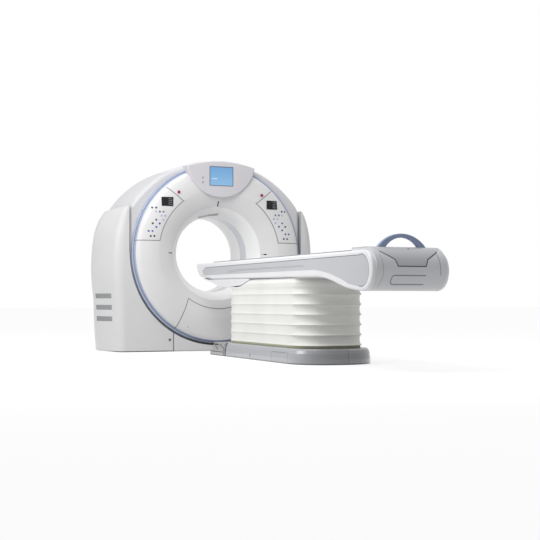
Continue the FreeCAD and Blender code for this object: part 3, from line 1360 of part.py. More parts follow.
def housing_shell():
    half = COUCH_HALF_W - SIDE_T
    outer = across(housing_profile(0), half)
    hollow = across(housing_profile(HOUSING_WALL), half - HOUSING_WALL)
    mouth_half = half - HOUSING_WALL
    mouth = block(-mouth_half, mouth_half, HOUSING_FRONT_Y - HOUSING_WALL * 2, HOUSING_FRONT_Y,
                  HOUSING_Z - HOUSING_R + HOUSING_LEDGE, HOUSING_Z + HOUSING_R)
    return outer.cut(hollow).cut(mouth)


def end_housing():
    """The fixed half-round end of the couch, open where the foot cover runs."""
    return solids_of(housing_shell().cut(foot_cover_space(FLOAT * 4)))


# ---------------------------------------------------------------- the sliding tabletop
def tabletop():
    """The long dished top that carries the patient."""
    low, high = TABLE_EDGE_Z
    half = TABLE_HALF_W
    edges = [
        arc(xz(-half, high), xz(0, high - TABLE_DISH), xz(half, high)),
        line(xz(half, high), xz(half, low)),
        arc(xz(half, low), xz(0, low - TABLE_DISH), xz(-half, low)),
        line(xz(-half, low), xz(-half, high)),
    ]
    face = Part.Face(Part.Wire(edges))
    face.translate(vec(0, TABLE_FOOT_Y, 0))
    top = prism(face, Y_AXIS, TABLE_HEAD_Y - TABLE_FOOT_Y)
    head_corners = [e for e in top.Edges if e.BoundBox.YMin > TABLE_HEAD_Y - 0.1 and e.BoundBox.XLength < 1]
    return top.makeFillet(TABLE_HEAD_R, head_corners)


def table_carriage():
    """The block under the tabletop's foot end, with the wheels that run in the rails."""
    y0, y1 = CARRIAGE_Y
    low = TABLE_EDGE_Z[0] - TABLE_DISH
    middle = (y0 + y1) / 2
    axle_half = RAIL_X - RAIL_W / 2 + WHEEL_SINK + WHEEL_W
    body = block(-CARRIAGE_HALF_W, CARRIAGE_HALF_W, y0, y1, CARRIAGE_LOW_Z, low - CARRIAGE_GAP)
    pad = block(-WEB_HALF_W, WEB_HALF_W, TABLE_FOOT_Y - WEB_REACH, y1, low - WEB_H, low)
    frame = body.fuse(pad).fuse(rod(-axle_half, middle, WHEEL_Z, AXLE_R, axle_half * 2, X_AXIS))
    for side in (1, -1):
        inner_face = side * (axle_half - WHEEL_W)
        frame = frame.fuse(rod(inner_face, middle, WHEEL_Z, WHEEL_R, WHEEL_W, vec(side, 0, 0)))
    return frame.removeSplitter()


def table_foot_cover():
    """The moulded end of the table: it wraps over the housing and carries the handle."""
    half = FOOT_COVER_HALF_W
    outer = across(housing_profile(0), half)
    inner = across(housing_profile(FOOT_COVER_T), half + SKIN)
    skin = outer.cut(inner).common(foot_cover_space(0))
    front = TABLE_FOOT_Y - SEAM * 2
    skin = skin.cut(block(-half, half, front, HOUSING_FRONT_Y, 0, HANDLE_TOP_Z))
    ends = [s for s in skin.Solids if s.BoundBox.ZMax > COUCH_TOP_Z]
    lip = block(-half, half, front - FOOT_COVER_T, front, FOOT_COVER_LIP_Z, HOUSING_Z + HOUSING_R)
    web = block(-WEB_HALF_W, WEB_HALF_W, HOUSING_Y, TABLE_FOOT_Y - WEB_REACH,
                TABLE_EDGE_Z[0] - TABLE_DISH - WEB_H, HOUSING_Z + HOUSING_R - FOOT_COVER_T)
    return ends[0].fuse(lip).fuse(web).removeSplitter()


def table_handle():
    """The arched grip over the table's foot end."""
    foot_z = HOUSING_Z + HOUSING_R
    edges = [
        arc(xz(-HANDLE_HALF, foot_z), xz(0, HANDLE_TOP_Z), xz(HANDLE_HALF, foot_z)),
        line(xz(HANDLE_HALF, foot_z), xz(HANDLE_INNER_HALF, foot_z)),
        arc(xz(HANDLE_INNER_HALF, foot_z), xz(0, HANDLE_INNER_TOP_Z), xz(-HANDLE_INNER_HALF, foot_z)),
        line(xz(-HANDLE_INNER_HALF, foot_z), xz(-HANDLE_HALF, foot_z)),
    ]
    face = Part.Face(Part.Wire(edges))
    face.translate(vec(0, HANDLE_Y - HANDLE_W / 2, 0))
    grip = prism(face, Y_AXIS, HANDLE_W)
    long_edges = [e for e in grip.Edges if e.BoundBox.YLength < 1 and e.Length > HANDLE_HALF]
    return grip.makeFillet(HANDLE_EDGE_R, long_edges)


def slide_motor():
    """The tabletop's drive motor, beside the rail on the frame's foot-end cross-member."""
    x = (RAIL_X + RAIL_W / 2 + COUCH_HALF_W - SIDE_T) / 2
    y = CROSS_Y[-1]
    z = CROSS_Z[1] + SLIDE_MOTOR_R + FLOAT
    body = rod(x, y - SLIDE_MOTOR_L / 2, z, SLIDE_MOTOR_R, SLIDE_MOTOR_L, Y_AXIS)
    seat = block(x - SLIDE_MOTOR_R, x + SLIDE_MOTOR_R, y - CROSS_W / 2, y + CROSS_W / 2,
                 CROSS_Z[1], CROSS_Z[1] + SLIDE_MOTOR_SEAT)
    return body.fuse(seat).removeSplitter()


def support_roller():
    """The roller at the head end that the tabletop passes over, on its stub axles."""
    z = TABLE_EDGE_Z[0] - TABLE_DISH - ROLLER_R - FLOAT
    span = RAIL_X - RAIL_W / 2
    drum = rod(-ROLLER_HALF, ROLLER_Y, z, ROLLER_R, ROLLER_HALF * 2, X_AXIS)
    stubs = rod(-span, ROLLER_Y, z, ROLLER_STUB_R, span * 2, X_AXIS)
    return drum.fuse(stubs).removeSplitter()


# ---------------------------------------------------------------- lift, bellows and base
def plan_rect(half_w, y_head, y_foot, head_r, foot_r, z, inset):
    """A plan outline with round corners: a large radius at the foot end, a small one at the head."""
    w = half_w - inset
    head = y_head - inset
    foot = y_foot + inset
    hr = max(head_r - inset, 1.0)
    fr = max(foot_r - inset, 1.0)
    c = math.sqrt(0.5)
    edges = [
        line(vec(-w + hr, head, z), vec(w - hr, head, z)),
        arc(vec(w - hr, head, z), vec(w - hr + hr * c, head - hr + hr * c, z), vec(w, head - hr, z)),
        line(vec(w, head - hr, z), vec(w, foot + fr, z)),
        arc(vec(w, foot + fr, z), vec(w - fr + fr * c, foot + fr - fr * c, z), vec(w - fr, foot, z)),
        line(vec(w - fr, foot, z), vec(-w + fr, foot, z)),
        arc(vec(-w + fr, foot, z), vec(-w + fr - fr * c, foot + fr - fr * c, z), vec(-w, foot + fr, z)),
        line(vec(-w, foot + fr, z), vec(-w, head - hr, z)),
        arc(vec(-w, head - hr, z), vec(-w + hr - hr * c, head - hr + hr * c, z), vec(-w + hr, head, z)),
    ]
    return Part.Wire(edges)


def bellows_section(z, inset):
    return plan_rect(BELLOWS_HALF_W, BELLOWS_Y[0], BELLOWS_Y[1], BELLOWS_HEAD_CORNER,
                     BELLOWS_FOOT_CORNER, z, inset)


def bellows():
    """The folded cover round the lift: sharp ridges with hollow flanks, over a recessed band."""
    low = BASE_TOP_Z + FLOAT
    top = BELLOWS_TOP_Z - FLOAT
    first, last = BELLOWS_RIDGE_Z
    pitch = (last - first) / (BELLOWS_RIDGES - 1)
    band_top = first - pitch * BELLOWS_BAND_TOP
    sections = [bellows_section(low, BELLOWS_BAND), bellows_section(band_top, BELLOWS_BAND)]
    for fold in range(BELLOWS_RIDGES):
        ridge = first + pitch * fold
        for part, depth in BELLOWS_FOLD:
            level = ridge + pitch * part
            if low < level < top:
                sections.append(bellows_section(level, BELLOWS_DEPTH * depth))
    sections.append(bellows_section(top, BELLOWS_DEPTH * BELLOWS_TOP_SHARE))
    outer = Part.makeLoft(sections, True, True)
    inset = BELLOWS_BAND + BELLOWS_WALL
    core = prism(Part.Face(bellows_section(0, inset)), Z_AXIS, BELLOWS_TOP_Z)
    return outer.cut(core)


def column_box(inset, z0, z1):
    w, d = COLUMN_OUT
    return block(-w / 2 + inset, w / 2 - inset, COLUMN_Y - d / 2 + inset, COLUMN_Y + d / 2 - inset, z0, z1)


def column_stage(index, z0, z1):
    """One square tube of the telescopic column, the outermost being number 0."""
    step = COLUMN_WALL + COLUMN_GAP
    tube = column_box(index * step, z0, z1)
    uprights = [e for e in tube.Edges if e.BoundBox.ZLength > 1]
    tube = tube.makeFillet(COLUMN_EDGE_R - index * SKIN, uprights)
    return tube.cut(column_box(index * step + COLUMN_WALL, z0, z1))


def glide_pads(index, z):
    """Flat pads round the foot of a stage, on the walls of the stage outside it."""
    step = index * (COLUMN_WALL + COLUMN_GAP)
    half_w = COLUMN_OUT[0] / 2 - step + COLUMN_GAP
    half_d = COLUMN_OUT[1] / 2 - step + COLUMN_GAP
    top = z + GLIDE_H
    sides = block(-half_w, half_w, COLUMN_Y - GLIDE_HALF_W, COLUMN_Y + GLIDE_HALF_W, z, top)
    ends = block(-GLIDE_HALF_W, GLIDE_HALF_W, COLUMN_Y - half_d, COLUMN_Y + half_d, z, top)
    return sides.fuse(ends).cut(column_box(step + COLUMN_WALL, z, top))


def outer_column():
    flange_top = COUCH_PLATE_T + COLUMN_FOOT_T
    foot = column_box(-COLUMN_FOOT, COUCH_PLATE_T, flange_top)
    foot = foot.cut(column_box(COLUMN_WALL, COUCH_PLATE_T, flange_top))
    return column_stage(0, COUCH_PLATE_T, COLUMN_OUT_TOP_Z).fuse(foot).removeSplitter()


def middle_column():
    low, top = COLUMN_MID_Z
    return column_stage(1, low, top).fuse(glide_pads(1, low)).removeSplitter()


def inner_column():
    """The innermost tube, closed by the cap that carries the couch."""
    top = SIDE_REAR[1]
    cap = column_box(2 * (COLUMN_WALL + COLUMN_GAP), top - COLUMN_CAP_T, top)
    stage = column_stage(2, COLUMN_IN_LOW_Z, top).fuse(cap)
    return stage.fuse(glide_pads(2, COLUMN_IN_LOW_Z)).removeSplitter()


def lift_gearmotor():
    """The lift's drive: a gearbox on the base plate with its motor and output shaft."""
    w, d, h = LIFT_BOX
    shaft_z = COUCH_PLATE_T + h / 2
    shaft_y = COLUMN_Y + COLUMN_OUT[1] / 2
    gearbox = block(-w / 2, w / 2, LIFT_DRIVE_Y - d / 2, LIFT_DRIVE_Y + d / 2,
                    COUCH_PLATE_T, COUCH_PLATE_T + h)
    motor = rod(w / 2, LIFT_DRIVE_Y, shaft_z, LIFT_MOTOR_R, LIFT_MOTOR_L, X_AXIS)
    shaft = rod(0, shaft_y, shaft_z, LIFT_SHAFT_R, LIFT_DRIVE_Y - d / 2 - shaft_y, Y_AXIS)
    return gearbox.fuse(motor).fuse(shaft).removeSplitter()


def base_section(z, inset):
    return plan_rect(BASE_HALF_W, BASE_HEAD_Y, BASE_FOOT_Y, BASE_HEAD_CORNER, BASE_FOOT_CORNER, z, inset)


def base_form(inset):
    """The couch base's outer form: sloped sides, round corners, drawn in by inset."""
    sections = [base_section(z - inset, inset + drawn) for z, drawn in BASE_PROFILE]
    sections.append(base_section(BASE_TOP_Z - inset, inset + BASE_DRAFT))
    return Part.makeLoft(sections, True, True)


def base_wall():
    """The base's moulded skirt with the mouth that the bellows stands round."""
    wall = base_form(0).cut(base_form(BASE_SKIN))
    mouth = Part.Face(bellows_section(BASE_TOP_Z - BASE_SKIN * 2, BELLOWS_BAND + BELLOWS_WALL))
    return wall.cut(prism(mouth, Z_AXIS, BASE_SKIN * 3))


def skirt_half(side):
    """The skirt on one side of the seam that runs along the couch's middle."""
    reach = BASE_HALF_W * 2
    kept = block(side * SEAM / 2, side * reach, BASE_HEAD_Y + SEAM, BASE_FOOT_Y - SEAM, 0, BASE_TOP_Z)
    half = base_wall().common(kept)
    if side < 0:
        half = half.cut(service_space(0))
    return solids_of(half)


def service_space(inset):
    return block(-BASE_HALF_W - SEAM, -BASE_HALF_W + BASE_DRAFT * 2, SERVICE_Y[0] - inset,
                 SERVICE_Y[1] + inset, SERVICE_Z[0] + inset, SERVICE_Z[1] - inset)


def service_panel():
    return solids_of(base_wall().common(service_space(SEAM)))


def couch_base_plate():
    """The thick floor plate inside the skirt, with its anchor holes."""
    plate = prism(Part.Face(base_section(0, BASE_SKIN + SEAM)), Z_AXIS, COUCH_PLATE_T)
    return plate.cut(anchor_holes(COUCH_ANCHOR_X, COUCH_ANCHOR_Y, COUCH_PLATE_T * 2))


# ---------------------------------------------------------------- footswitch
def footswitch_housing():
    """A folded metal unit before the couch's base: a tray, a roof and three cheeks."""
    x0, x1 = SWITCH_X
    y0, y1 = SWITCH_Y
    tray = block(x0, x1, y0, y1, 0, SWITCH_TRAY_Z)
    corners = [e for e in tray.Edges if e.BoundBox.ZLength > 1 and e.BoundBox.YMin > y1 - 1]
    tray = tray.makeFillet(SWITCH_CORNER_R, corners)
    roof = block(x0, x1, y0, y1 - SWITCH_ROOF_BACK, SWITCH_ROOF_Z - SWITCH_SHEET, SWITCH_ROOF_Z)
    back = block(x0, x1, y0, y0 + SWITCH_SHEET, SWITCH_TRAY_Z, SWITCH_ROOF_Z)
    unit = tray.fuse(roof).fuse(back)
    middle = (x0 + x1) / 2
    for x in (x0, middle - SWITCH_SHEET / 2, x1 - SWITCH_SHEET):
        cheek = polygon_face([
            vec(x, y0, SWITCH_TRAY_Z), vec(x, y1 - CHEEK_BACK[0], SWITCH_TRAY_Z),
            vec(x, y1 - CHEEK_BACK[1], SWITCH_ROOF_Z), vec(x, y0, SWITCH_ROOF_Z),
        ])
        unit = unit.fuse(prism(cheek, X_AXIS, SWITCH_SHEET))
    for x in pedal_centres():
        hole = rod(x - PEDAL_W, PEDAL_PIN_Y, PEDAL_PIN_Z, PEDAL_PIN_R + SHAFT_FIT, PEDAL_W * 2, X_AXIS)
        unit = unit.cut(hole)
    return unit.removeSplitter()


def pedal_centres():
    bay = (SWITCH_X[1] - SWITCH_X[0] - SWITCH_SHEET) / 2
    return (SWITCH_X[0] + SWITCH_SHEET / 2 + bay / 2, SWITCH_X[1] - SWITCH_SHEET / 2 - bay / 2)


def pedal(x):
    """A pressed foot plate on its pin, sloping down towards the gantry."""
    pin_half = (SWITCH_X[1] - SWITCH_X[0] - SWITCH_SHEET) / 4
    side = x - PEDAL_W / 2
    z = PEDAL_PIN_Z
    end = PEDAL_PIN_Y + PEDAL_ARM
    tread_top, tread_low = PEDAL_TREAD
    toe_reach, toe_rise = PEDAL_TOE
    pin = rod(x - pin_half + FLOAT, PEDAL_PIN_Y, z, PEDAL_PIN_R, 2 * (pin_half - FLOAT), X_AXIS)
    hub = rod(side, PEDAL_PIN_Y, z, PEDAL_PIN_R * 2, PEDAL_W, X_AXIS)
    plate = polygon_face([
        vec(side, PEDAL_PIN_Y, z - PEDAL_HALF_T), vec(side, PEDAL_PIN_Y, z + PEDAL_HALF_T),
        vec(side, end, z + tread_top), vec(side, end + toe_reach, z + toe_rise),
        vec(side, end, z + tread_low),
    ])
    return pin.fuse(hub).fuse(prism(plate, X_AXIS, PEDAL_W)).removeSplitter()


# ---------------------------------------------------------------- all nodes
def build():
    shell, rear = shell_halves()
    screen_space = screen_block(0, SCREEN_RECESS)
    cover = side_cover()
    stop = emergency_stop()
    latch = cover_latch()
    left_pedal_x, right_pedal_x = pedal_centres()
    return {
        "gantry_base_plate": gantry_base_plate(),
        "right_side_cover": cover,
        "left_side_cover": mirrored(cover),
        "stand_frames": pair(stand_frame()),
        "tilt_bearings": pair(tilt_bearing()),
        "tilt_gearmotor": tilt_gearmotor(),
        "vent_grilles": pair(vent_grille()),
        "lower_panels": group([front_lower_panel(), rear_lower_panel()]),
        "right_cover_latch": latch,
        "left_cover_latch": mirrored(latch),
        "tilt_frame": tilt_frame(),
        "bearing_outer_ring": bearing_outer(),
        "outer_shell": shell,
        "rear_cover": rear,
        "front_cover": front_cover(),
        "access_panel": access_panel(),
        "control_panels": pair(control_panel()),
        "displays": pair(display()),
        "keypads": pair(keypad()),
        "right_emergency_stop": stop,
        "left_emergency_stop": mirrored(stop),
        "laser_windows": laser_windows(),
        "trim_ring": trim_ring(),
        "console_hood": console_hood(screen_space),
        "console_screen": console_screen(),
        "front_liner": front_liner(),
        "scan_window": scan_window(),
        "rear_liner": rear_liner(),
        "rotor_motor": rotor_motor(),
        "drive_belt": drive_belt(),
        "drive_pulley": drive_pulley(),
        "brush_block": brush_block(),
        "rotor_disc": rotor_disc(),
        "bearing_inner_ring": bearing_inner(),
        "slip_ring": slip_ring(),
        "xray_tube": xray_tube(),
        "detector_arc": detector_arc(),
        "rotor_cabinets": group([
            rotor_cabinet(1, CABINET_FRONT_Y[0]), rotor_cabinet(-1, CABINET_FRONT_Y[1]),
        ]),
        "couch_base_plate": couch_base_plate(),
        "base_covers": group([skirt_half(1), skirt_half(-1), service_panel()]),
        "outer_column": outer_column(),
        "lift_gearmotor": lift_gearmotor(),
        "bellows": bellows(),
        "footswitch_housing": footswitch_housing(),
        "left_pedal": pedal(left_pedal_x),
        "right_pedal": pedal(right_pedal_x),
        "middle_column": middle_column(),
        "inner_column": inner_column(),
        "couch_rails": group([frame_rails(), support_roller()]),
        "side_frames": pair(side_frame()),
        "inlays": pair(side_inlay()),
        "chin_cover": chin_cover(),
        "under_tray": group([under_tray(), lift_collar()]),
        "deck": deck(),
        "end_housing": end_housing(),
        "slide_motor": slide_motor(),
        "tabletop": tabletop(),
        "table_carriage": table_carriage(),
        "table_foot_cover": table_foot_cover(),
        "table_handle": table_handle(),
    }


def main():
    os.makedirs("parts", exist_ok=True)
    for name, shape in build().items():
        shape.exportStep("parts/" + name + ".step")
        print(name, len(shape.Solids), round(shape.Volume / 1e6, 3), "litres", shape.isValid())


main()
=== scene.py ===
# %% [markdown]
# # A tilting CT scanner and its couch
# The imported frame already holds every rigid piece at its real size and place. This lesson opens it,
# then adds what the eye needs: a studio, a finish for each surface, the folded bellows, and small
# fittings that are too fine for the solid model. Lengths are in metres and the frame's axes hold:
# +Z is up, the gantry's front looks along -Y, and the floor is at zero.

# %% Open the frame
import json
import math

import bmesh
import bpy
from mathutils import Matrix, Vector, noise


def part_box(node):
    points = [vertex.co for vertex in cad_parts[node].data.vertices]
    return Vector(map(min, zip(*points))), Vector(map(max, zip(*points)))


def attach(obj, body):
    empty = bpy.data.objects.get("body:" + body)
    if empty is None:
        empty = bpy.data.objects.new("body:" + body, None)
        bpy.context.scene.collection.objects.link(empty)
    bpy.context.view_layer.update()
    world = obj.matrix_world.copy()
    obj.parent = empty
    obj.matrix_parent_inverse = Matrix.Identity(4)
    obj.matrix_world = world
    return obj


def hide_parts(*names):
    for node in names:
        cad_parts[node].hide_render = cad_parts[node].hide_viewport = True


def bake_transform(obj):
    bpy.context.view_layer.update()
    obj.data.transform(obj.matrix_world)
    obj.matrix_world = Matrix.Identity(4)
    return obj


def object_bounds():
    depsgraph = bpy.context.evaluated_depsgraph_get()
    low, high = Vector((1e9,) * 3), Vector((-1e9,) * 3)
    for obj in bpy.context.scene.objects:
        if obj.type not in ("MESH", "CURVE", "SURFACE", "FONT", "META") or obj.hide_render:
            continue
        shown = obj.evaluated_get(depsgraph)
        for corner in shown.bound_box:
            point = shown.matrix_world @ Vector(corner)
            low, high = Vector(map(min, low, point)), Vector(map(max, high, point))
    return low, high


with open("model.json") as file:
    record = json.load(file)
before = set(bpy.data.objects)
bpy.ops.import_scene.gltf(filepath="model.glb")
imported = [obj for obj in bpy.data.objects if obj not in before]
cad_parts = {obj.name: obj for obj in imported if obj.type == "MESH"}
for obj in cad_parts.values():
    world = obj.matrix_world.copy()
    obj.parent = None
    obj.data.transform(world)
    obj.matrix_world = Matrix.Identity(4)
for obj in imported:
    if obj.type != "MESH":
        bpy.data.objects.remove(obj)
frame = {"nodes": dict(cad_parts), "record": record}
cad_low, cad_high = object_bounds()
nodes = frame["nodes"]
scene = bpy.context.scene

# %% [markdown]
# The camera comes first, because every later choice is judged through it. A photograph's viewpoint
# can be found from a few edges whose real length is known; here the bore, the couch and the floor
# line gave the place, the turn and the lens.

# %% Stand the camera where the photographer stood
LENS_MM = 76.3
SENSOR_MM = 36.0
CAMERA_AT = (-3.864, -10.458, 0.477)
CAMERA_PITCH = 91.506
CAMERA_YAW = -23.506

camera_data = bpy.data.cameras.new("photo_camera")
camera_data.lens = LENS_MM
camera_data.sensor_width = SENSOR_MM
camera = bpy.data.objects.new("photo_camera", camera_data)
camera.location = CAMERA_AT
camera.rotation_euler = (math.radians(CAMERA_PITCH), 0, math.radians(CAMERA_YAW))
scene.collection.objects.link(camera)
scene.camera = camera
print("camera", CAMERA_AT, "lens", LENS_MM)

# %% [markdown]
# White goods on white are lit so that the ground burns out while the object keeps its greys. One
# plain grey all round would flatten the mouldings, so the sky changes with direction. Its nodes come
# from one function, which takes a value or a link for each socket.

# %% Prepare the sky
SKY_SIDE = 0.63
SKY_LEFT_GAIN = 0.04
SKY_UP_GAIN = 0.06
SKY_POLE_GAIN = 0.28
SKY_FRONT_LOSS = 0.31

world = bpy.data.worlds.new("studio")
scene.world = world
world.use_nodes = True
sky = world.node_tree
sky_background = sky.nodes["Background"]


def sky_node(kind, operation=None, **values):
    """One node of the sky, with its operation set and its sockets fed."""
    node = sky.nodes.new(kind)
    if operation:
        node.operation = operation
    for name, value in values.items():
        socket = node.inputs[int(name[1:])]
        if hasattr(value, "links"):
            sky.links.new(value, socket)
        else:
            socket.default_value = value
    return node


print("sky ready")

# %% [markdown]
# The glow is a sum over the direction's axes: bright above and below, a little brighter to the left,
# and darkest in front, which shades the couch's foot end. The camera itself sees plain white. A
# Light Path node makes that split, which only a world may do.

# %% Light the sky
WHITE = (1.0, 1.0, 1.0, 1.0)

direction = sky_node("ShaderNodeTexCoord").outputs["Generated"]
axes = sky.nodes.new("ShaderNodeSeparateXYZ")
sky.links.new(direction, axes.inputs[0])
glow = SKY_SIDE
towards_front = sky_node("ShaderNodeMath", "MINIMUM", _0=axes.outputs[1], _1=0.0).outputs[0]
for way, gain in (
    (axes.outputs[0], -SKY_LEFT_GAIN), (towards_front, SKY_FRONT_LOSS), (axes.outputs[2], SKY_UP_GAIN),
):
    part = sky_node("ShaderNodeMath", "MULTIPLY", _0=way, _1=gain).outputs[0]
    glow = sky_node("ShaderNodeMath", "ADD", _0=part, _1=glow).outputs[0]
steepness = sky_node("ShaderNodeMath", "ABSOLUTE", _0=axes.outputs[2]).outputs[0]
poles = sky_node("ShaderNodeMath", "MULTIPLY", _0=steepness, _1=SKY_POLE_GAIN).outputs[0]
glow = sky_node("ShaderNodeMath", "ADD", _0=poles, _1=glow).outputs[0]
seen = sky.nodes.new("ShaderNodeLightPath").outputs["Is Camera Ray"]
strength = sky_node("ShaderNodeMix", _0=seen, _2=glow, _3=1.0)
sky.links.new(strength.outputs[0], sky_background.inputs["Strength"])
sky_background.inputs["Color"].default_value = WHITE
scene.view_settings.view_transform = "Standard"
print("sky nodes", len(sky.nodes))

# %% [markdown]
# Where a lamp hangs decides which faces it can reach. The wide key softbox stands to the left, above
# the couch. The face softbox hangs over the tabletop: it lights the gantry's face, but the couch's
# foot end looks away from it and stays grey. The roof softbox draws the bright line along the arch.

# %% Hang the softboxes
SOFTBOXES = (
    # name, place, aim, size, watts
    ("key_softbox", (-4.1, -2.0, 2.2), (0.0, -1.4, 0.8), 2.0, 40.0),
    ("face_softbox", (-1.8, -3.1, 3.2), (0.0, -0.4, 0.9), 1.8, 64.0),
    ("roof_softbox", (0.5, -0.6, 4.6), (0.0, -0.6, 0.9), 2.6, 18.0),
)


def hang_softbox(name, place, aim, size, watts):
    """An area lamp that looks at a point."""
    data = bpy.data.lights.new(name, "AREA")
    data.shape = "SQUARE"
    data.size = size
    data.energy = watts
    lamp = bpy.data.objects.new(name, data)
    lamp.location = place
    lamp.rotation_euler = (Vector(aim) - Vector(place)).to_track_quat("-Z", "Y").to_euler()
    scene.collection.objects.link(lamp)
    return lamp


for row in SOFTBOXES:
    print("softbox", hang_softbox(*row).name)

# %% [markdown]
# Node graphs get long when they are wired by hand. A small class that overloads the sums lets a mask
# be written as on paper: each + or * adds one Math node. The reflected forms make 1 - mask work too.


# %% Write shader sums in Python
class Sums:
    """What takes part in sums; each sum adds one Math node."""

    def math(self, operation, *others):
        return self.paint.math(operation, self, *others)

    def __add__(self, other):
        return self.math("ADD", other)

    __radd__ = __add__

    def __sub__(self, other):
        return self.math("SUBTRACT", other)

    def __rsub__(self, other):
        return self.paint.math("SUBTRACT", other, self)

    def __mul__(self, other):
        return self.math("MULTIPLY", other)

    def __truediv__(self, other):
        return self.math("DIVIDE", other)

    def __neg__(self):
        return self * -1

    def __abs__(self):
        return self.math("ABSOLUTE")


print("sums ready")

# %% [markdown]
# Masks need a few steps that have no sign of their own: the least of two values, a root, and soft
# steps up and down. They go into the class that wraps a socket.


# %% Wrap a socket
class Wire(Sums):
    """A shader value of one material."""

    def __init__(self, paint, socket):
        self.paint = paint
        self.socket = socket

    def least(self, other):
        return self.math("MINIMUM", other)

    def most(self, other):
        return self.math("MAXIMUM", other)

    def root(self):
        return self.math("SQRT")

    def turn(self):
        """The whole part taken off: a value that climbs from 0 to 1 again and again."""
        return self.math("FRACT")

    def rise(self, start, end):
        """0 below start and 1 above end, with a soft step between them."""
        values = {0: self, 1: start, 2: end}
        node = self.paint.node("ShaderNodeMapRange", {"interpolation_type": "SMOOTHSTEP"}, values)
        return Wire(self.paint, node.outputs[0])

    def fall(self, start, end):
        return 1 - self.rise(start, end)


print("steps ready")

# %% [markdown]
# Colours are easier to judge as a screen shows them, from 0 to 255, but a shader works in linear
# light. The screen's curve has a straight foot and then a power, so its inverse has both.

# %% Read colours as a screen shows them
WHITE_LEVEL = 255.0
CURVE_KNEE = 0.04045
CURVE_FOOT = 12.92
CURVE_LIFT = 0.055
CURVE_POWER = 2.4


def linear(channel):
    """A display value from 0 to 255 as the linear value that a shader works in."""
    share = channel / WHITE_LEVEL
    if share <= CURVE_KNEE:
        return share / CURVE_FOOT
    return ((share + CURVE_LIFT) / (1 + CURVE_LIFT)) ** CURVE_POWER


def shown(red, green, blue):
    return (linear(red), linear(green), linear(blue), 1.0)


def darker(colour, share):
    return tuple(channel * (1 - share) for channel in colour[:3]) + (1.0,)


print("a mid grey is", round(shown(128, 128, 128)[0], 3))

# %% [markdown]
# One object knows the node tree of a material. It has one method for any node, one for sums, and
# short ones for what every finish needs: the place on the object, noise, and a mix of colours.

# %% Hold a material's nodes
MIX_FACTOR, MIX_FIRST, MIX_SECOND, MIX_RESULT = 0, 6, 7, 2


class Nodes:
    """A new material and what can be put into its node tree."""

    def __init__(self, name):
        self.material = bpy.data.materials.new(name)
        self.material.use_nodes = True
        self.tree = self.material.node_tree

    def plug(self, socket, value):
        if isinstance(value, Wire):
            self.tree.links.new(value.socket, socket)
        else:
            socket.default_value = value

    def node(self, kind, settings=None, values=None):
        """Any node: its settings first, then its sockets by number or name."""
        node = self.tree.nodes.new(kind)
        for key, value in (settings or {}).items():
            setattr(node, key, value)
        for key, value in (values or {}).items():
            self.plug(node.inputs[key], value)
        return node

    def math(self, operation, *values):
        node = self.node("ShaderNodeMath", {"operation": operation}, dict(enumerate(values)))
        return Wire(self, node.outputs[0])

    def place(self):
        """The place on the object, as three wires in metres."""
        spot = Wire(self, self.node("ShaderNodeTexCoord").outputs["Object"])
        split = self.node("ShaderNodeSeparateXYZ", values={0: spot})
        return [Wire(self, socket) for socket in split.outputs]

    def spot(self, scale):
        """The place on the object as one vector, stretched by scale."""
        spot = Wire(self, self.node("ShaderNodeTexCoord").outputs["Object"])
        node = self.node("ShaderNodeVectorMath", {"operation": "MULTIPLY"}, {0: spot, 1: scale})
        return Wire(self, node.outputs[0])

    def noise(self, scale, detail, stretch=(1, 1, 1)):
        values = {"Vector": self.spot(stretch), "Scale": scale, "Detail": detail}
        return Wire(self, self.node("ShaderNodeTexNoise", values=values).outputs[0])

    def mix(self, mask, first, second):
        """A colour that goes from first to second as the mask goes from 0 to 1."""
        values = {MIX_FACTOR: mask, MIX_FIRST: first, MIX_SECOND: second}
        node = self.node("ShaderNodeMix", {"data_type": "RGBA"}, values)
        return Wire(self, node.outputs[MIX_RESULT])


print("nodes ready")

# %% [markdown]
# A finish adds the Principled shader to that. Colours are laid over one another like coats of paint,
# and bumps are chained. Only sockets that can be baked into textures are ever linked.


# %% Build a finish
class Paint(Nodes):
    """One finish under construction, with its Principled shader."""

    def __init__(self, name, colour, roughness, **sockets):
        super().__init__(name)
        self.shader = self.tree.nodes["Principled BSDF"]
        self.colour = colour
        self.heights = []
        self.feed("Base Color", colour)
        self.feed("Roughness", roughness)
        for socket, value in sockets.items():
            self.feed(socket.replace("_", " "), value)

    def feed(self, socket, value):
        self.plug(self.shader.inputs[socket], value)

    def vary_roughness(self, scale, detail, low, spread):
        """A noise lifts the roughness from low by up to spread."""
        self.feed("Roughness", self.noise(scale, detail) * spread + low)

    def cover(self, mask, colour, depth=1):
        """Lay a colour over what the finish has so far, in full or to a lesser depth."""
        if depth != 1:
            mask = mask * depth
        self.colour = self.mix(mask, self.colour, colour)
        self.feed("Base Color", self.colour)

    def bump(self, height, distance):
        """Raise the surface by height times distance."""
        values = {"Height": height, "Distance": distance}
        if self.heights:
            values["Normal"] = self.heights[-1]
        self.heights.append(Wire(self, self.node("ShaderNodeBump", values=values).outputs[0]))
        self.feed("Normal", self.heights[-1])


print("paint ready")

# %% [markdown]
# The seams between moulded covers are far finer than a pixel, but light dies in them, so the eye
# reads a grey line. The line is drawn in the material from its distance to the seam, which a straight
# stretch or an arc gives in a sum.

# %% Measure distances to a seam
LINE_CORE = 0.3
LINE_EDGE = 0.8


def segment_distance(u, v, start, end):
    """How far a place is from a straight stretch between two points of the plane."""
    along = Vector(end) - Vector(start)
    way = along.normalized()
    run = ((u - start[0]) * way.x + (v - start[1]) * way.y).most(0).least(along.length)
    off_u = u - start[0] - run * way.x
    off_v = v - start[1] - run * way.y
    return (off_u * off_u + off_v * off_v).root()


def radius_from(u, v, centre):
    off_u = u - centre[0]
    off_v = v - centre[1]
    return (off_u * off_u + off_v * off_v).root()


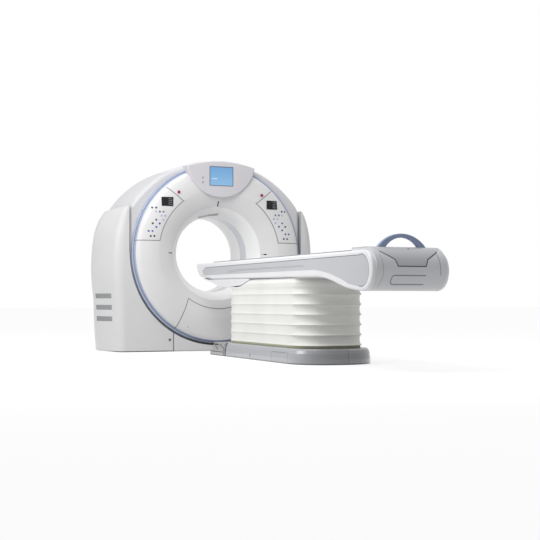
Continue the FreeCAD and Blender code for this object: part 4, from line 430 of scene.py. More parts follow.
def line_mask(distance, width):
    """1 on a line of that width, with soft edges."""
    return distance.fall(width * LINE_CORE, width * LINE_EDGE)


def nearest(distances):
    least = distances[0]
    for distance in distances[1:]:
        least = least.least(distance)
    return least


print("line sums ready")

# %% [markdown]
# Panels and ovals need a few more: a soft rectangle, the circle through three points, and the
# outline of a rectangle with round corners.


# %% Measure distances to an outline
def box_mask(u, v, low, high, edge):
    """1 inside a rectangle of the plane."""
    inside = (u - low[0]).least(high[0] - u).least(v - low[1]).least(high[1] - v)
    return inside.rise(0, edge)


def arc_through(first, middle, last):
    """Centre and radius of the circle through three points of the plane."""
    (ax, ay), (bx, by), (cx, cy) = first, middle, last
    twice = 2 * (ax * (by - cy) + bx * (cy - ay) + cx * (ay - by))
    a, b, c = ax * ax + ay * ay, bx * bx + by * by, cx * cx + cy * cy
    centre = ((a * (by - cy) + b * (cy - ay) + c * (ay - by)) / twice,
              (a * (cx - bx) + b * (ax - cx) + c * (bx - ax)) / twice)
    return centre, math.dist(centre, first)


def pill_distance(u, v, low, high, corner):
    """How far a place is from the outline of a rectangle with round corners."""
    off_u = (abs(u - (low[0] + high[0]) / 2) - (high[0] - low[0]) / 2 + corner).most(0)
    off_v = (abs(v - (low[1] + high[1]) / 2) - (high[1] - low[1]) / 2 + corner).most(0)
    return (off_u * off_u + off_v * off_v).root() - corner


print("outline sums ready")

# %% [markdown]
# Moulded covers are not flat in colour: the paint has a fine orange peel, and large mouldings vary
# by a shade or so over a metre. Both come from noise. Anything stronger would read as dirt.

# %% Moulded covers
PEEL_SCALE = 420.0
PEEL_HEIGHT = 0.00006
CLOUD_SCALE = 1.7
CLOUD_RANGE = (0.35, 0.75)
CLOUD_DEPTH = 0.05
SHEEN_SCALE = 9.0
SHEEN_SPREAD = 0.12
COAT_ROUGHNESS = 0.22
SEAM_WIDTH = 0.007
SEAM_GROOVE = 0.001
DOT_CORE = 0.8


def moulded(name, colour, roughness=0.42, coat=0.15):
    """Satin paint on a moulded shell."""
    paint = Paint(name, colour, roughness, Coat_Weight=coat, Coat_Roughness=COAT_ROUGHNESS)
    cloud = paint.noise(CLOUD_SCALE, 3.0)
    paint.cover(cloud.rise(*CLOUD_RANGE), darker(colour, CLOUD_DEPTH))
    low = roughness - SHEEN_SPREAD / 2
    paint.vary_roughness(scale=SHEEN_SCALE, detail=4.0, low=low, spread=SHEEN_SPREAD)
    paint.bump(paint.noise(PEEL_SCALE, 1.0), PEEL_HEIGHT)
    return paint


def draw_seam(paint, distance, tone, width=SEAM_WIDTH, depth=0.9):
    """A dark line with a slight groove along it."""
    mask = line_mask(distance, width)
    paint.cover(mask, tone, depth=depth)
    paint.bump(1 - mask, SEAM_GROOVE)


def draw_dot(paint, distance, reach, tone, depth=1):
    """A round spot: the distance is from its middle."""
    paint.cover(distance.fall(reach * DOT_CORE, reach), tone, depth=depth)


FINISH = {}
print("moulded covers ready")

# %% [markdown]
# The front ring carries the seams of the two control panels and of the access panel below the bore.
# All of them mirror about the middle, so the sums use the size of x alone.

# %% The front ring's covers and their seams
ISO_Z = 0.916
PANEL_IN_R = 0.605
PANEL_OUT_R = 0.826
PANEL_TOP_OUT = (0.525, 1.520)
PANEL_TOP_IN = (0.370, 1.400)
PANEL_BOTTOM_Z = 1.025
ACCESS_R = 0.520
ACCESS_TOP_X = 0.304
ACCESS_LOW = (0.435, 0.215)
TRIM_BLUE = shown(169, 180, 204)
TRIM_BAND_R = 0.816
TRIM_BAND_EDGE = 0.002
PANEL_SEAM_TONE = shown(120, 116, 120)
ACCESS_SEAM_TONE = shown(120, 116, 112)


def ring_at(radius, z):
    """Half-width of a circle round the bore's axis at height z."""
    return math.sqrt(radius * radius - (z - ISO_Z) ** 2)


ring_paint = moulded("cover_ring", shown(226, 225, 226))
x, y, z = ring_paint.place()
side = abs(x)
radius = radius_from(side, z, (0, ISO_Z))
ring_paint.cover(radius.rise(TRIM_BAND_R - TRIM_BAND_EDGE, TRIM_BAND_R), TRIM_BLUE)
panel_bottom = (ring_at(PANEL_IN_R, PANEL_BOTTOM_Z), PANEL_BOTTOM_Z)
panel_rim = (ring_at(PANEL_OUT_R, PANEL_BOTTOM_Z), PANEL_BOTTOM_Z)
panel_top = segment_distance(side, z, PANEL_TOP_OUT, PANEL_TOP_IN)
panel_foot = segment_distance(side, z, panel_bottom, panel_rim)
off_panel = (PANEL_BOTTOM_Z - z).most(z - PANEL_TOP_IN[1]).most(0.0)
panel_inner = abs(radius - PANEL_IN_R) + off_panel
access_top = (ACCESS_TOP_X, ISO_Z - math.sqrt(ACCESS_R**2 - ACCESS_TOP_X**2))
access_side = segment_distance(side, z, access_top, ACCESS_LOW)
off_access = (side - ACCESS_TOP_X).most(z - ISO_Z).most(0.0)
access_arc = abs(radius - ACCESS_R) + off_access
draw_seam(ring_paint, nearest([panel_top, panel_foot, panel_inner]), PANEL_SEAM_TONE)
draw_seam(ring_paint, nearest([access_side, access_arc]), ACCESS_SEAM_TONE)
FINISH["cover_ring"] = ring_paint
print("ring seams drawn")

# %% [markdown]
# The other white mouldings share the recipe. The stands have one seam between their front covers and
# the panel below the ring. The narrow gap between a stand and the tilting shell is a dark line in the
# photograph, so the faces that line it get painted shade, on the right only at the stand's front lip.
# A thin painted shadow darkens the foot where a moulding meets the floor.

# %% The stands
STAND_SPLIT_X = 0.438
STAND_FRONT_Y = -0.30
GAP_X = 0.866
SHELL_GAP_X = 0.857
GAP_EDGE = (0.0006, 0.0012)
GAP_FRONT = (-0.030, -0.025)
LIP_END = (-0.018, -0.012)
RIGHT_SIDE = (0.0, 0.1)
GAP_SHADE = shown(48, 38, 36)
SPLIT_WIDTH = 0.009
SPLIT_TONE = shown(96, 96, 98)
FLOOR_SHADE_LINE = (0.006, 0.012)
STAND_FOOT_SHADE = shown(96, 96, 96)

stand_paint = moulded("stand_white", shown(217, 217, 218))
x, y, z = stand_paint.place()
split_distance = abs(abs(x) - STAND_SPLIT_X) + (y - STAND_FRONT_Y).most(0.0)
draw_seam(stand_paint, split_distance, SPLIT_TONE, width=SPLIT_WIDTH)
# Painted shade on the faces that line the gap to the shell; on the right only at the front lip.
in_gap_shade = abs(abs(x) - GAP_X).fall(*GAP_EDGE) * (y - STAND_FRONT_Y).rise(*GAP_FRONT)
lip_only = 1 - x.rise(*RIGHT_SIDE) * (y - STAND_FRONT_Y).rise(*LIP_END)
stand_paint.cover(in_gap_shade * lip_only, GAP_SHADE, depth=0.85)
# A painted shadow along the foot where the stand meets the floor.
stand_paint.cover(z.fall(*FLOOR_SHADE_LINE), STAND_FOOT_SHADE, depth=0.5)
FINISH["stand_white"] = stand_paint
print("stand seams drawn")

# %% [markdown]
# The tunnel's liner is a separate, brighter moulding. At its top, two dark oval grilles cover the
# speaker and the microphone, and the scan window shows as a cooler band with two small marks.

# %% The tunnel's liner and its small marks
GRILLES = (((-0.148, 1.263), (-0.059, 1.282)), ((-0.053, 1.286), (0.036, 1.296)))
GRILLE_R = 0.010
GRILLE_REAR_Y = -0.16
GRILLE_TONE = shown(112, 112, 116)
WINDOW_MARKS = ((-0.020, 1.182), (-0.146, 1.183))
WINDOW_MARK_EDGE = (0.004, 0.006)
WINDOW_MARK_TONE = shown(96, 98, 108)

liner_paint = moulded("liner_white", shown(246, 246, 246), roughness=0.35)
x, y, z = liner_paint.place()
grille = nearest([segment_distance(x, z, *ends) for ends in GRILLES]) + (y - GRILLE_REAR_Y).most(0)
draw_dot(liner_paint, grille, GRILLE_R, GRILLE_TONE, depth=0.7)
FINISH["liner_white"] = liner_paint
band_paint = moulded("scan_band", shown(212, 213, 220), roughness=0.3)
x, y, z = band_paint.place()
for mark in WINDOW_MARKS:
    spot = radius_from(y, z, mark) + (-x).most(0)
    band_paint.cover(spot.fall(*WINDOW_MARK_EDGE), WINDOW_MARK_TONE)
FINISH["scan_band"] = band_paint
print("liner drawn")

# %% [markdown]
# The shell, the couch's frames and the trim ring have no seams of their own. The shell's flanks get
# painted shade where they line the gap to the stands, and the trim gets painted shade at its lowest
# point, where it dips behind the panel below the ring.

# %% Shell, couch frames and trim ring
FLANK_EDGE = 0.006
FLANK_TOP = (1.26, 1.34)
TRIM_FOOT = (0.10, 0.15)
TRIM_FOOT_SHADE = shown(76, 76, 90)

shell_paint = moulded("cover_white", shown(212, 212, 215))
x, y, z = shell_paint.place()
# Painted shade on the flanks where they line the gap to the stands.
shaded = abs(x).rise(SHELL_GAP_X - FLANK_EDGE, SHELL_GAP_X) * z.fall(*FLANK_TOP)
shell_paint.cover(shaded, GAP_SHADE, depth=0.8)
FINISH["cover_white"] = shell_paint
FINISH["couch_white"] = moulded("couch_white", shown(226, 226, 228), roughness=0.36)
trim_paint = moulded("trim_blue", TRIM_BLUE, roughness=0.3, coat=0.4)
x, y, z = trim_paint.place()
# Painted shade at the trim's lowest point, behind the panel below the ring.
trim_paint.cover(z.fall(*TRIM_FOOT), TRIM_FOOT_SHADE, depth=0.5)
FINISH["trim_blue"] = trim_paint
print(len(FINISH), "finishes")

# %% [markdown]
# Hidden machinery gets its own honest finishes as well: powder coat on frames, enamel on motors,
# brushed metal on the rotor and the columns.

# %% Recipes for machinery
RUB_SCALE = 2.3
RUB_RANGE = (0.5, 0.85)
RUB_DEPTH = 0.12
ENAMEL_SPREAD = 0.2
PEBBLE_SCALE = 650.0
PEBBLE_HEIGHT = 0.00012
BRUSH_SCALE = 900.0
BRUSH_RANGE = (0.35, 0.7)
BRUSH_DEPTH = 0.14
BRUSH_HEIGHT = 0.00004
BRUSH_PULL = 0.02
BRUSH_SMOOTH = 0.24
BRUSH_SPREAD = 0.16
METAL_SHARE = 0.9


def enamel(name, colour, roughness):
    """Paint or powder coat on metal, with a pebbled skin and a few darker rubs."""
    paint = Paint(name, colour, roughness)
    paint.cover(paint.noise(RUB_SCALE, 4.0).rise(*RUB_RANGE), darker(colour, RUB_DEPTH))
    low = roughness - ENAMEL_SPREAD / 2
    paint.vary_roughness(scale=26.0, detail=3.0, low=low, spread=ENAMEL_SPREAD)
    paint.bump(paint.noise(PEBBLE_SCALE, 2.0), PEBBLE_HEIGHT)
    return paint


def brushed(name, colour, along="y"):
    """Metal with fine lines along one axis."""
    stretch = [BRUSH_PULL if axis == along else 1.0 for axis in "xyz"]
    paint = Paint(name, colour, BRUSH_SMOOTH, Metallic=METAL_SHARE)
    lines = paint.noise(BRUSH_SCALE, 2.0, stretch)
    paint.cover(lines.rise(*BRUSH_RANGE), darker(colour, BRUSH_DEPTH))
    paint.feed("Roughness", lines * BRUSH_SPREAD + BRUSH_SMOOTH)
    paint.bump(lines, BRUSH_HEIGHT)
    return paint


print("machinery recipes ready")

# %% [markdown]
# With two recipes, each finish of the machinery is one row of a table.

# %% Machinery
ENAMELS = (
    # name, colour, roughness
    ("frame_steel", (92, 96, 102), 0.5),
    ("plate_steel", (66, 67, 70), 0.5),
    ("drive_dark", (48, 50, 54), 0.4),
    ("tube_grey", (134, 138, 144), 0.35),
    ("belt_black", (28, 28, 30), 0.8),
    ("slip_ring_resin", (60, 66, 60), 0.5),
    ("vent_grey", (158, 159, 161), 0.6),
    ("pedal_dark", (96, 98, 102), 0.5),
)
METALS = (
    # name, colour, the axis that its lines follow
    ("bearing_steel", (190, 192, 196), "y"),
    ("rotor_alloy", (200, 202, 205), "y"),
    ("box_alloy", (176, 180, 186), "x"),
    ("rail_alloy", (196, 198, 202), "y"),
    ("column_alloy", (184, 187, 190), "z"),
    ("latch_metal", (140, 142, 146), "y"),
)
for name, tone, roughness in ENAMELS:
    FINISH[name] = enamel(name, shown(*tone), roughness)
for name, tone, along in METALS:
    FINISH[name] = brushed(name, shown(*tone), along)
print(len(FINISH), "finishes")

# %% [markdown]
# The couch's side frames are white, and a grey inlay is let into each. Its edge is a joint with
# painted shade from the frame's lip over the recessed inlay: a dark line that runs along the top, turns
# round the foot end in an arc and comes back below. A fine double groove runs along its middle. Lines
# that follow an outline are sums of distances to its stretches.

# %% The couch's sides
INLAY_TOP = ((-0.798, 0.771), (-3.729, 0.780))
INLAY_END = (-3.8715, 0.690)
INLAY_FOOT_LOW = (-3.739, 0.567)
INLAY_GROOVE = ((-1.624, 0.7275), (-2.857, 0.7275))
INLAY_GROOVE_HEAD = (-1.350, 0.717)
INLAY_LINE_WIDTH = 0.010
INLAY_EDGE_SHADE = shown(70, 72, 84)
GROOVE_HALF = 0.0045
GROOVE_WIDTH = 0.004
GROOVE_TONE = shown(140, 143, 150)

inlay_paint = moulded("inlay_grey", shown(186, 188, 192), roughness=0.38)
x, y, z = inlay_paint.place()
end_centre, end_radius = arc_through(INLAY_TOP[1], INLAY_END, INLAY_FOOT_LOW)
inlay_top = segment_distance(y, z, *INLAY_TOP)
inlay_end = abs(radius_from(y, z, end_centre) - end_radius) + (y - INLAY_TOP[1][0]).most(0)
# The inlay's edge is a joint darkened by painted shade from the frame's lip over the recess.
draw_seam(inlay_paint, inlay_top.least(inlay_end), INLAY_EDGE_SHADE, width=INLAY_LINE_WIDTH, depth=0.8)
groove = segment_distance(y, z, *INLAY_GROOVE).least(
    segment_distance(y, z, INLAY_GROOVE[0], INLAY_GROOVE_HEAD))
draw_seam(inlay_paint, abs(groove - GROOVE_HALF), GROOVE_TONE, width=GROOVE_WIDTH, depth=0.7)
FINISH["inlay_grey"] = inlay_paint
print("inlay drawn")

# %% [markdown]
# The grey housing at the couch's foot end holds the slide's drive. Its cover has a waisted outline and
# a slightly darker face. It is seen from the foot end, so it is drawn in x and z.

# %% The end housing's cover
COVER_FOOT_HALF = 0.105
COVER_FOOT_Z = 0.699
COVER_WAIST_HALF = 0.125
COVER_WAIST_Z = 0.745
COVER_LOW_FLARE = 0.435
COVER_HIGH_FLARE = 1.77
COVER_OUTLINE = (
    (0.217, 0.797), (COVER_WAIST_HALF, COVER_WAIST_Z), (COVER_FOOT_HALF, COVER_FOOT_Z), (0.0, COVER_FOOT_Z),
)
COVER_EDGE = 0.001
COVER_TONE = shown(166, 167, 171)
COVER_LINE_TONE = shown(60, 60, 70)
END_FACE_Y = -3.83

housing_paint = moulded("housing_grey", shown(208, 209, 213), roughness=0.4)
x, y, z = housing_paint.place()
cover_lines = [segment_distance(abs(x), z, *ends) for ends in zip(COVER_OUTLINE, COVER_OUTLINE[1:])]
off_end = (y - END_FACE_Y).most(0)
cover_half = (COVER_FOOT_HALF + (z - COVER_FOOT_Z) * COVER_LOW_FLARE).most(
    COVER_WAIST_HALF + (z - COVER_WAIST_Z) * COVER_HIGH_FLARE)
in_cover = (cover_half - abs(x)).rise(0.0, 2 * COVER_EDGE)
in_cover = in_cover * (z - COVER_FOOT_Z).rise(-COVER_EDGE, COVER_EDGE)
housing_paint.cover(in_cover, COVER_TONE, depth=0.6)
draw_seam(housing_paint, nearest(cover_lines) + off_end, COVER_LINE_TONE)
print("housing cover drawn")

# %% [markdown]
# Below the cover lies a long oval groove that fades out at its right end. Two joints run down the
# housing's corners, and a small round hole in its top is a dark spot of painted shade.

# %% The end housing's seams
OVAL_LOW = (-0.150, 0.580)
OVAL_HIGH = (0.180, 0.639)
OVAL_CORNER = 0.024
OVAL_WIDTH = 0.0065
OVAL_TONE = shown(90, 90, 100)
OVAL_FADE = (0.10, 0.15)
OVAL_FADE_STEP = 0.02
SIDE_SEAM = ((0.209, 0.781), (0.2156, 0.7067), (0.2215, 0.6409))
END_SEAM = ((-0.226, 0.777), (-0.2165, 0.697), (-0.217, 0.6345), (-0.2258, 0.5615))
SIDE_SEAM_WIDTH = 0.005
SIDE_SEAM_TONE = shown(104, 104, 112)
VENT_HOLE = (0.021, -3.8376)
VENT_HOLE_R = 0.007
VENT_HOLE_ABOVE = (0.70, 0.71)
HOLE_SHADE = shown(30, 30, 34)

oval = abs(pill_distance(x, z, OVAL_LOW, OVAL_HIGH, OVAL_CORNER))
fade = x.rise(*OVAL_FADE) * OVAL_FADE_STEP
draw_seam(housing_paint, oval + off_end + fade, OVAL_TONE, width=OVAL_WIDTH, depth=0.85)
for stretches, depth in ((SIDE_SEAM, 0.7), (END_SEAM, 0.4)):
    lines = [segment_distance(x, z, *ends) for ends in zip(stretches, stretches[1:])]
    draw_seam(housing_paint, nearest(lines) + off_end, SIDE_SEAM_TONE, width=SIDE_SEAM_WIDTH, depth=depth)
# The hole is a dark spot of painted shade.
hole = radius_from(x, y, VENT_HOLE)
draw_dot(housing_paint, hole, VENT_HOLE_R, HOLE_SHADE, depth=z.rise(*VENT_HOLE_ABOVE))
FINISH["housing_grey"] = housing_paint
print("housing drawn")

# %% [markdown]
# The foot of the couch is glossier than the rest and darker, with painted shade at its rounded end. A
# service panel is cut into its long side, and a screw in a dark cup holds the cover. A thin painted
# shadow runs along its foot at the floor.

# %% The couch's foot
SERVICE_LOW = (-2.664, -0.05)
SERVICE_HIGH = (-2.362, 0.081)
SERVICE_CORNER = 0.012
SERVICE_TONE = shown(120, 122, 128)
FOOT_SIDE_X = 0.30
FOOT_SEAM_X = 0.03
END_SEAM_Y = -2.9
END_SEAM_TONE = shown(70, 70, 74)
END_SHADE_RANGE = (-2.94, -2.70)
END_SHADE = shown(112, 113, 114)
BASE_LINE_WIDTH = 0.005
FOOT_CUP = (-1.935, 0.034)
FOOT_CUP_R = 0.013
FOOT_CUP_TONE = shown(40, 40, 44)
BASE_FOOT_SHADE = shown(60, 60, 66)
BASE_METAL_SHARE = 0.15

base_paint = moulded("base_grey", shown(170, 172, 176), roughness=0.24, coat=0.8)
base_paint.feed("Metallic", BASE_METAL_SHARE)
x, y, z = base_paint.place()
# Painted shade at the couch's rounded foot end.
base_paint.cover(y.fall(*END_SHADE_RANGE), END_SHADE, depth=0.6)
service = abs(pill_distance(y, z, SERVICE_LOW, SERVICE_HIGH, SERVICE_CORNER)) + (x + FOOT_SIDE_X).most(0)
draw_seam(base_paint, service, SERVICE_TONE, width=BASE_LINE_WIDTH, depth=0.8)
end_seam = abs(x - FOOT_SEAM_X) + (y - END_SEAM_Y).most(0)
draw_seam(base_paint, end_seam, END_SEAM_TONE, width=BASE_LINE_WIDTH, depth=0.6)
cup = radius_from(y, z, FOOT_CUP) + (FOOT_SIDE_X - abs(x)).most(0)
draw_dot(base_paint, cup, FOOT_CUP_R, FOOT_CUP_TONE)
# A painted shadow along the foot where the couch meets the floor.
base_paint.cover(z.fall(*FLOOR_SHADE_LINE), BASE_FOOT_SHADE, depth=0.8)
FINISH["base_grey"] = base_paint
print("couch foot drawn")

# %% [markdown]
# The tabletop's rim has a line of painted shade where it meets the couch, which sets it off from the side
# frames.
# The deck and the handle are plain mouldings; the handle is the gantry's blue, only darker.

# %% Tabletop, deck and handle
RIM_X = 0.232
RIM_EDGE = 0.003
RIM_TOP_Z = 0.8195
RIM_TOP_LINE = (-0.001, 0.0)
RIM_TOP_TONE = shown(150, 152, 158)
RIM_FOOT_Z = 0.7795
RIM_FOOT_LINE = (0.0, 0.004)
RIM_FOOT_SHADE = shown(84, 86, 92)

tabletop_paint = moulded("tabletop_grey", shown(206, 207, 210), roughness=0.4)
x, y, z = tabletop_paint.place()
on_rim = abs(x).rise(RIM_X - RIM_EDGE, RIM_X)
tabletop_paint.cover((z - RIM_TOP_Z).fall(*RIM_TOP_LINE) * on_rim, RIM_TOP_TONE)
# Painted shade along the rim's foot, in the gap where it meets the couch.
tabletop_paint.cover((z - RIM_FOOT_Z).fall(*RIM_FOOT_LINE) * on_rim, RIM_FOOT_SHADE, depth=0.8)
FINISH["tabletop_grey"] = tabletop_paint
FINISH["deck_grey"] = moulded("deck_grey", shown(196, 197, 200), roughness=0.5)
FINISH["handle_blue"] = moulded("handle_blue", shown(134, 150, 184), roughness=0.35, coat=0.4)
FINISH["stop_red"] = moulded("stop_red", shown(150, 26, 48), roughness=0.3, coat=0.5)
print("tabletop drawn")

# %% [markdown]
# The footswitch is folded from bright sheet. Its folds, the pedal's slot, the tray's edge and a bolt
# hole are dark marks of painted shade on the cheek that faces the operator, each a stretch with its
# own half-width. A thin painted shadow runs along its foot.

# %% The footswitch
CHEEK_X = -0.328
CHEEK_EDGE = 0.003
CHEEK_MARKS = (
    # from (y, z) to (y, z), and half the width: folds, pedal slot, tray's edge, bolt hole
    ((-1.262, 0.099), (-1.362, 0.060), 0.005),
    ((-1.145, 0.088), (-1.207, 0.053), 0.005),
    ((-1.135, 0.0955), (-1.225, 0.0945), 0.006),
    ((-1.340, 0.048), (-1.366, 0.047), 0.005),
    ((-1.060, 0.033), (-1.366, 0.033), 0.0035),
    ((-1.344, 0.0172), (-1.343, 0.0172), 0.010),
)
MARK_RANGE = (0.6, 1.2)
CHEEK_MARK_SHADE = shown(42, 42, 44)
SWITCH_FOOT = (0.005, 0.011)
SWITCH_FOOT_SHADE = shown(70, 70, 72)

switch_paint = brushed("switch_metal", shown(190, 190, 189))
x, y, z = switch_paint.place()
on_cheek = x.fall(CHEEK_X, CHEEK_X + CHEEK_EDGE)
# Painted shade in the folds, the pedal's slot, under the tray's edge and in the bolt hole.
for start, end, half in CHEEK_MARKS:
    mark = segment_distance(y, z, start, end)
    switch_paint.cover((mark / half).fall(*MARK_RANGE) * on_cheek, CHEEK_MARK_SHADE)
# A painted shadow along the foot where the footswitch meets the floor.
switch_paint.cover(z.fall(*SWITCH_FOOT), SWITCH_FOOT_SHADE, depth=0.8)
FINISH["switch_metal"] = switch_paint
print(len(FINISH), "finishes")

# %% [markdown]
# The membrane keypads carry one colour per key. Each key is a circle in x and z, and the two pads are
# mirror images, so one list of places on the size of x colours both. The colour runs a little past
# the raised key onto the foil round it, so the panels' own finish gets the same circles.

# %% Keys on the control panels
KEY_R = 0.0105
KEY_CORE = 0.85
KEY_TONES = (
    # |x|, z, colour
    (0.668, 1.328, (50, 52, 66)), (0.633, 1.328, (50, 52, 66)),
    (0.6345, 1.291, (186, 190, 208)), (0.599, 1.291, (92, 106, 158)), (0.5635, 1.291, (122, 116, 152)),
    (0.582, 1.255, (178, 186, 210)), (0.5465, 1.255, (164, 172, 204)), (0.564, 1.216, (164, 176, 208)),
    (0.6335, 1.2155, (56, 84, 160)), (0.667, 1.182, (56, 60, 54)), (0.600, 1.182, (76, 78, 162)),
    (0.633, 1.148, (60, 90, 176)), (0.705, 1.1105, (48, 86, 168)), (0.6695, 1.1105, (62, 98, 174)),
    (0.6865, 1.065, (58, 70, 66)), (0.651, 1.065, (56, 66, 68)),
)


def colour_keys(paint):
    """Lay every key's circle on a finish."""
    x, y, z = paint.place()
    for key_x, key_z, tone in KEY_TONES:
        reach = radius_from(abs(x), z, (key_x, key_z))
        paint.cover(reach.fall(KEY_R * KEY_CORE, KEY_R), shown(*tone))


key_paint = moulded("key_mixed", shown(150, 158, 186), roughness=0.4)
colour_keys(key_paint)
colour_keys(ring_paint)
FINISH["key_mixed"] = key_paint
print(len(KEY_TONES), "key colours")

# %% [markdown]
# Each display is black glass with four rows of faint figures at its right. They are drawn as plain
# dashes, since no lettering belongs on the part. A noise makes some dashes brighter than others.

# %% Displays
DISPLAY_MID = (0.525, 1.3875)
DASH_LOW = (0.006, -0.034)
DASH_HIGH = (0.046, 0.034)
DASH_ROW = 0.017
DASH_PITCH = 0.010
DASH_CELL_LOW = (0.30, 0.12)
DASH_CELL_HIGH = (0.75, 0.85)
FLICKER_SCALE = 90.0
FLICKER_RANGE = (0.30, 0.55)
FLICKER_LOW = 0.35
DASH_TONE = shown(150, 156, 164)
MIDDLE = (-0.01, 0.01)

display_paint = Paint("display_black", shown(16, 17, 20), 0.12, Coat_Weight=0.6, Coat_Roughness=0.05)
x, y, z = display_paint.place()
side_u = (x - DISPLAY_MID[0]) * x.rise(*MIDDLE) + (x + DISPLAY_MID[0]) * x.fall(*MIDDLE)
up = z - DISPLAY_MID[1]
row_place = (up / DASH_ROW).turn()
dash_place = (side_u / DASH_PITCH).turn()
dashes = box_mask(row_place, dash_place, DASH_CELL_LOW, DASH_CELL_HIGH, edge=0.05)
window = box_mask(side_u, up, DASH_LOW, DASH_HIGH, edge=0.002)
flicker = display_paint.noise(FLICKER_SCALE, 0.0).rise(*FLICKER_RANGE)
brightness = FLICKER_LOW + flicker * (1 - FLICKER_LOW)
display_paint.cover(dashes * window * brightness, DASH_TONE)
display_paint.vary_roughness(scale=40.0, detail=2.0, low=0.1, spread=0.06)
FINISH["display_black"] = display_paint
print("displays drawn")

# %% [markdown]
# The three laser windows are dark slots. The left one gets a painted reflection of the sky and looks
# grey, and the right one is dark only at its outer end.

# %% Laser windows
LEFT_WINDOW = (-0.44, -0.42)
LEFT_WINDOW_REFLECTION = shown(118, 120, 124)
RIGHT_WINDOW = (0.42, 0.44)
RIGHT_WINDOW_END = (0.470, 0.473)
RIGHT_WINDOW_TONE = shown(196, 196, 198)

laser_paint = moulded("laser_black", shown(18, 18, 20), roughness=0.2, coat=0.5)
x, y, z = laser_paint.place()
# A painted reflection of the sky on the left window.
laser_paint.cover(x.fall(*LEFT_WINDOW), LEFT_WINDOW_REFLECTION)
laser_paint.cover(x.rise(*RIGHT_WINDOW) * x.fall(*RIGHT_WINDOW_END), RIGHT_WINDOW_TONE)
FINISH["laser_black"] = laser_paint
print("laser windows drawn")

# %% [markdown]
# The console's screen glows, so it gets its light from Emission Color and keeps a dark glass below.
# A pale bar stands in its lower left. The picture is paler at its foot, with painted shade along its edge
# where the hood's recess shades it.

# %% The screen
SCREEN_LOW = (-0.1156, 1.5514)
SCREEN_HIGH = (0.1156, 1.7286)
SCREEN_FOOT_TONE = shown(150, 198, 234)
SCREEN_HEAD_TONE = shown(124, 176, 222)
SCREEN_EDGE = (0.002, 0.005)
SCREEN_EDGE_SHADE = shown(50, 70, 100)
SCREEN_GLOW = 0.78
BAR_LOW = (-0.097, 1.611)
BAR_HIGH = (-0.040, 1.620)
BAR_CORNER = 0.0045
BAR_EDGE = (-0.002, 0.001)
BAR_TONE = shown(232, 242, 250)

screen_paint = Paint("screen_blue", shown(40, 66, 96), 0.18, Coat_Weight=0.5, Coat_Roughness=0.06)
x, y, z = screen_paint.place()
glow = screen_paint.mix(z.rise(SCREEN_LOW[1], SCREEN_HIGH[1]), SCREEN_FOOT_TONE, SCREEN_HEAD_TONE)
bar = pill_distance(x, z, BAR_LOW, BAR_HIGH, BAR_CORNER).fall(*BAR_EDGE)
glow = screen_paint.mix(bar, glow, BAR_TONE)
# Painted shade along the screen's edge, where the hood's recess shades it.
edge = (SCREEN_HIGH[0] - abs(x)).least(z - SCREEN_LOW[1]).least(SCREEN_HIGH[1] - z)
glow = screen_paint.mix(edge.fall(*SCREEN_EDGE), glow, SCREEN_EDGE_SHADE)
screen_paint.feed("Emission Color", glow)
screen_paint.feed("Emission Strength", SCREEN_GLOW)
screen_paint.vary_roughness(scale=30.0, detail=2.0, low=0.14, spread=0.08)
FINISH["screen_blue"] = screen_paint
print("screen lit")

# %% [markdown]
# The hood round the screen is a light grey moulding with a dark line about the screen, two small ring
# marks at its left and a green lamp at its right.

# %% The console's hood
HOOD_FACE = (-0.424, -0.420)
RING_MARKS = ((-0.185, 1.621), (-0.185, 1.577))
RING_MARK_R = 0.006
RING_MARK_WIDTH = 0.005
RING_MARK_TONE = shown(120, 124, 140)
STATUS_LAMP = (0.179, 1.613)
STATUS_LAMP_EDGE = (0.005, 0.007)
STATUS_LAMP_TONE = shown(196, 212, 84)
SCREEN_LINE_CORNER = 0.006
SCREEN_LINE_OUT = 0.002
SCREEN_LINE_WIDTH = 0.006
SCREEN_LINE_TONE = shown(96, 104, 128)
SCREEN_LINE_REAR_Y = -0.41

console_paint = moulded("console_grey", shown(208, 206, 210), roughness=0.45)
x, y, z = console_paint.place()
on_face = y.fall(*HOOD_FACE)
for place in RING_MARKS:
    mark = abs(radius_from(x, z, place) - RING_MARK_R)
    console_paint.cover(line_mask(mark, RING_MARK_WIDTH) * on_face, RING_MARK_TONE)
lamp = radius_from(x, z, STATUS_LAMP)
console_paint.cover(lamp.fall(*STATUS_LAMP_EDGE) * on_face, STATUS_LAMP_TONE)
screen_line = abs(pill_distance(x, z, SCREEN_LOW, SCREEN_HIGH, SCREEN_LINE_CORNER) - SCREEN_LINE_OUT)
screen_line = screen_line + (y - SCREEN_LINE_REAR_Y).most(0)
draw_seam(console_paint, screen_line, SCREEN_LINE_TONE, width=SCREEN_LINE_WIDTH, depth=0.7)
FINISH["console_grey"] = console_paint
print("console drawn")

# %% [markdown]
# The bellows is moulded from pale, slightly yellow rubber with no gloss. Its grain is fine, dust dulls
# it here and there in level streaks, and the plain band at its recessed foot gets olive painted shade.

# %% Rubber for the bellows
HEM_TOP_Z = 0.139
HEM_EDGE = 0.004
HEM_SHADE = shown(176, 178, 144)
CREAM_DULL = shown(218, 219, 214)
CREAM_DUST = shown(210, 211, 205)
DULL_SCALE = 2.1
DULL_RANGE = (0.40, 0.75)
DUST_SCALE = 38.0
DUST_STRETCH = (1, 1, 4)
DUST_RANGE = (0.55, 0.80)
GRAIN_SCALE = 900.0
GRAIN_HEIGHT = 0.0001

rubber_paint = Paint("bellows_cream", shown(226, 226, 222), 0.7)
x, y, z = rubber_paint.place()
dust = rubber_paint.noise(DUST_SCALE, 3.0, DUST_STRETCH).rise(*DUST_RANGE)
rubber_paint.cover(rubber_paint.noise(DULL_SCALE, 4.0).rise(*DULL_RANGE), CREAM_DULL)
rubber_paint.cover(dust, CREAM_DUST, depth=0.3)
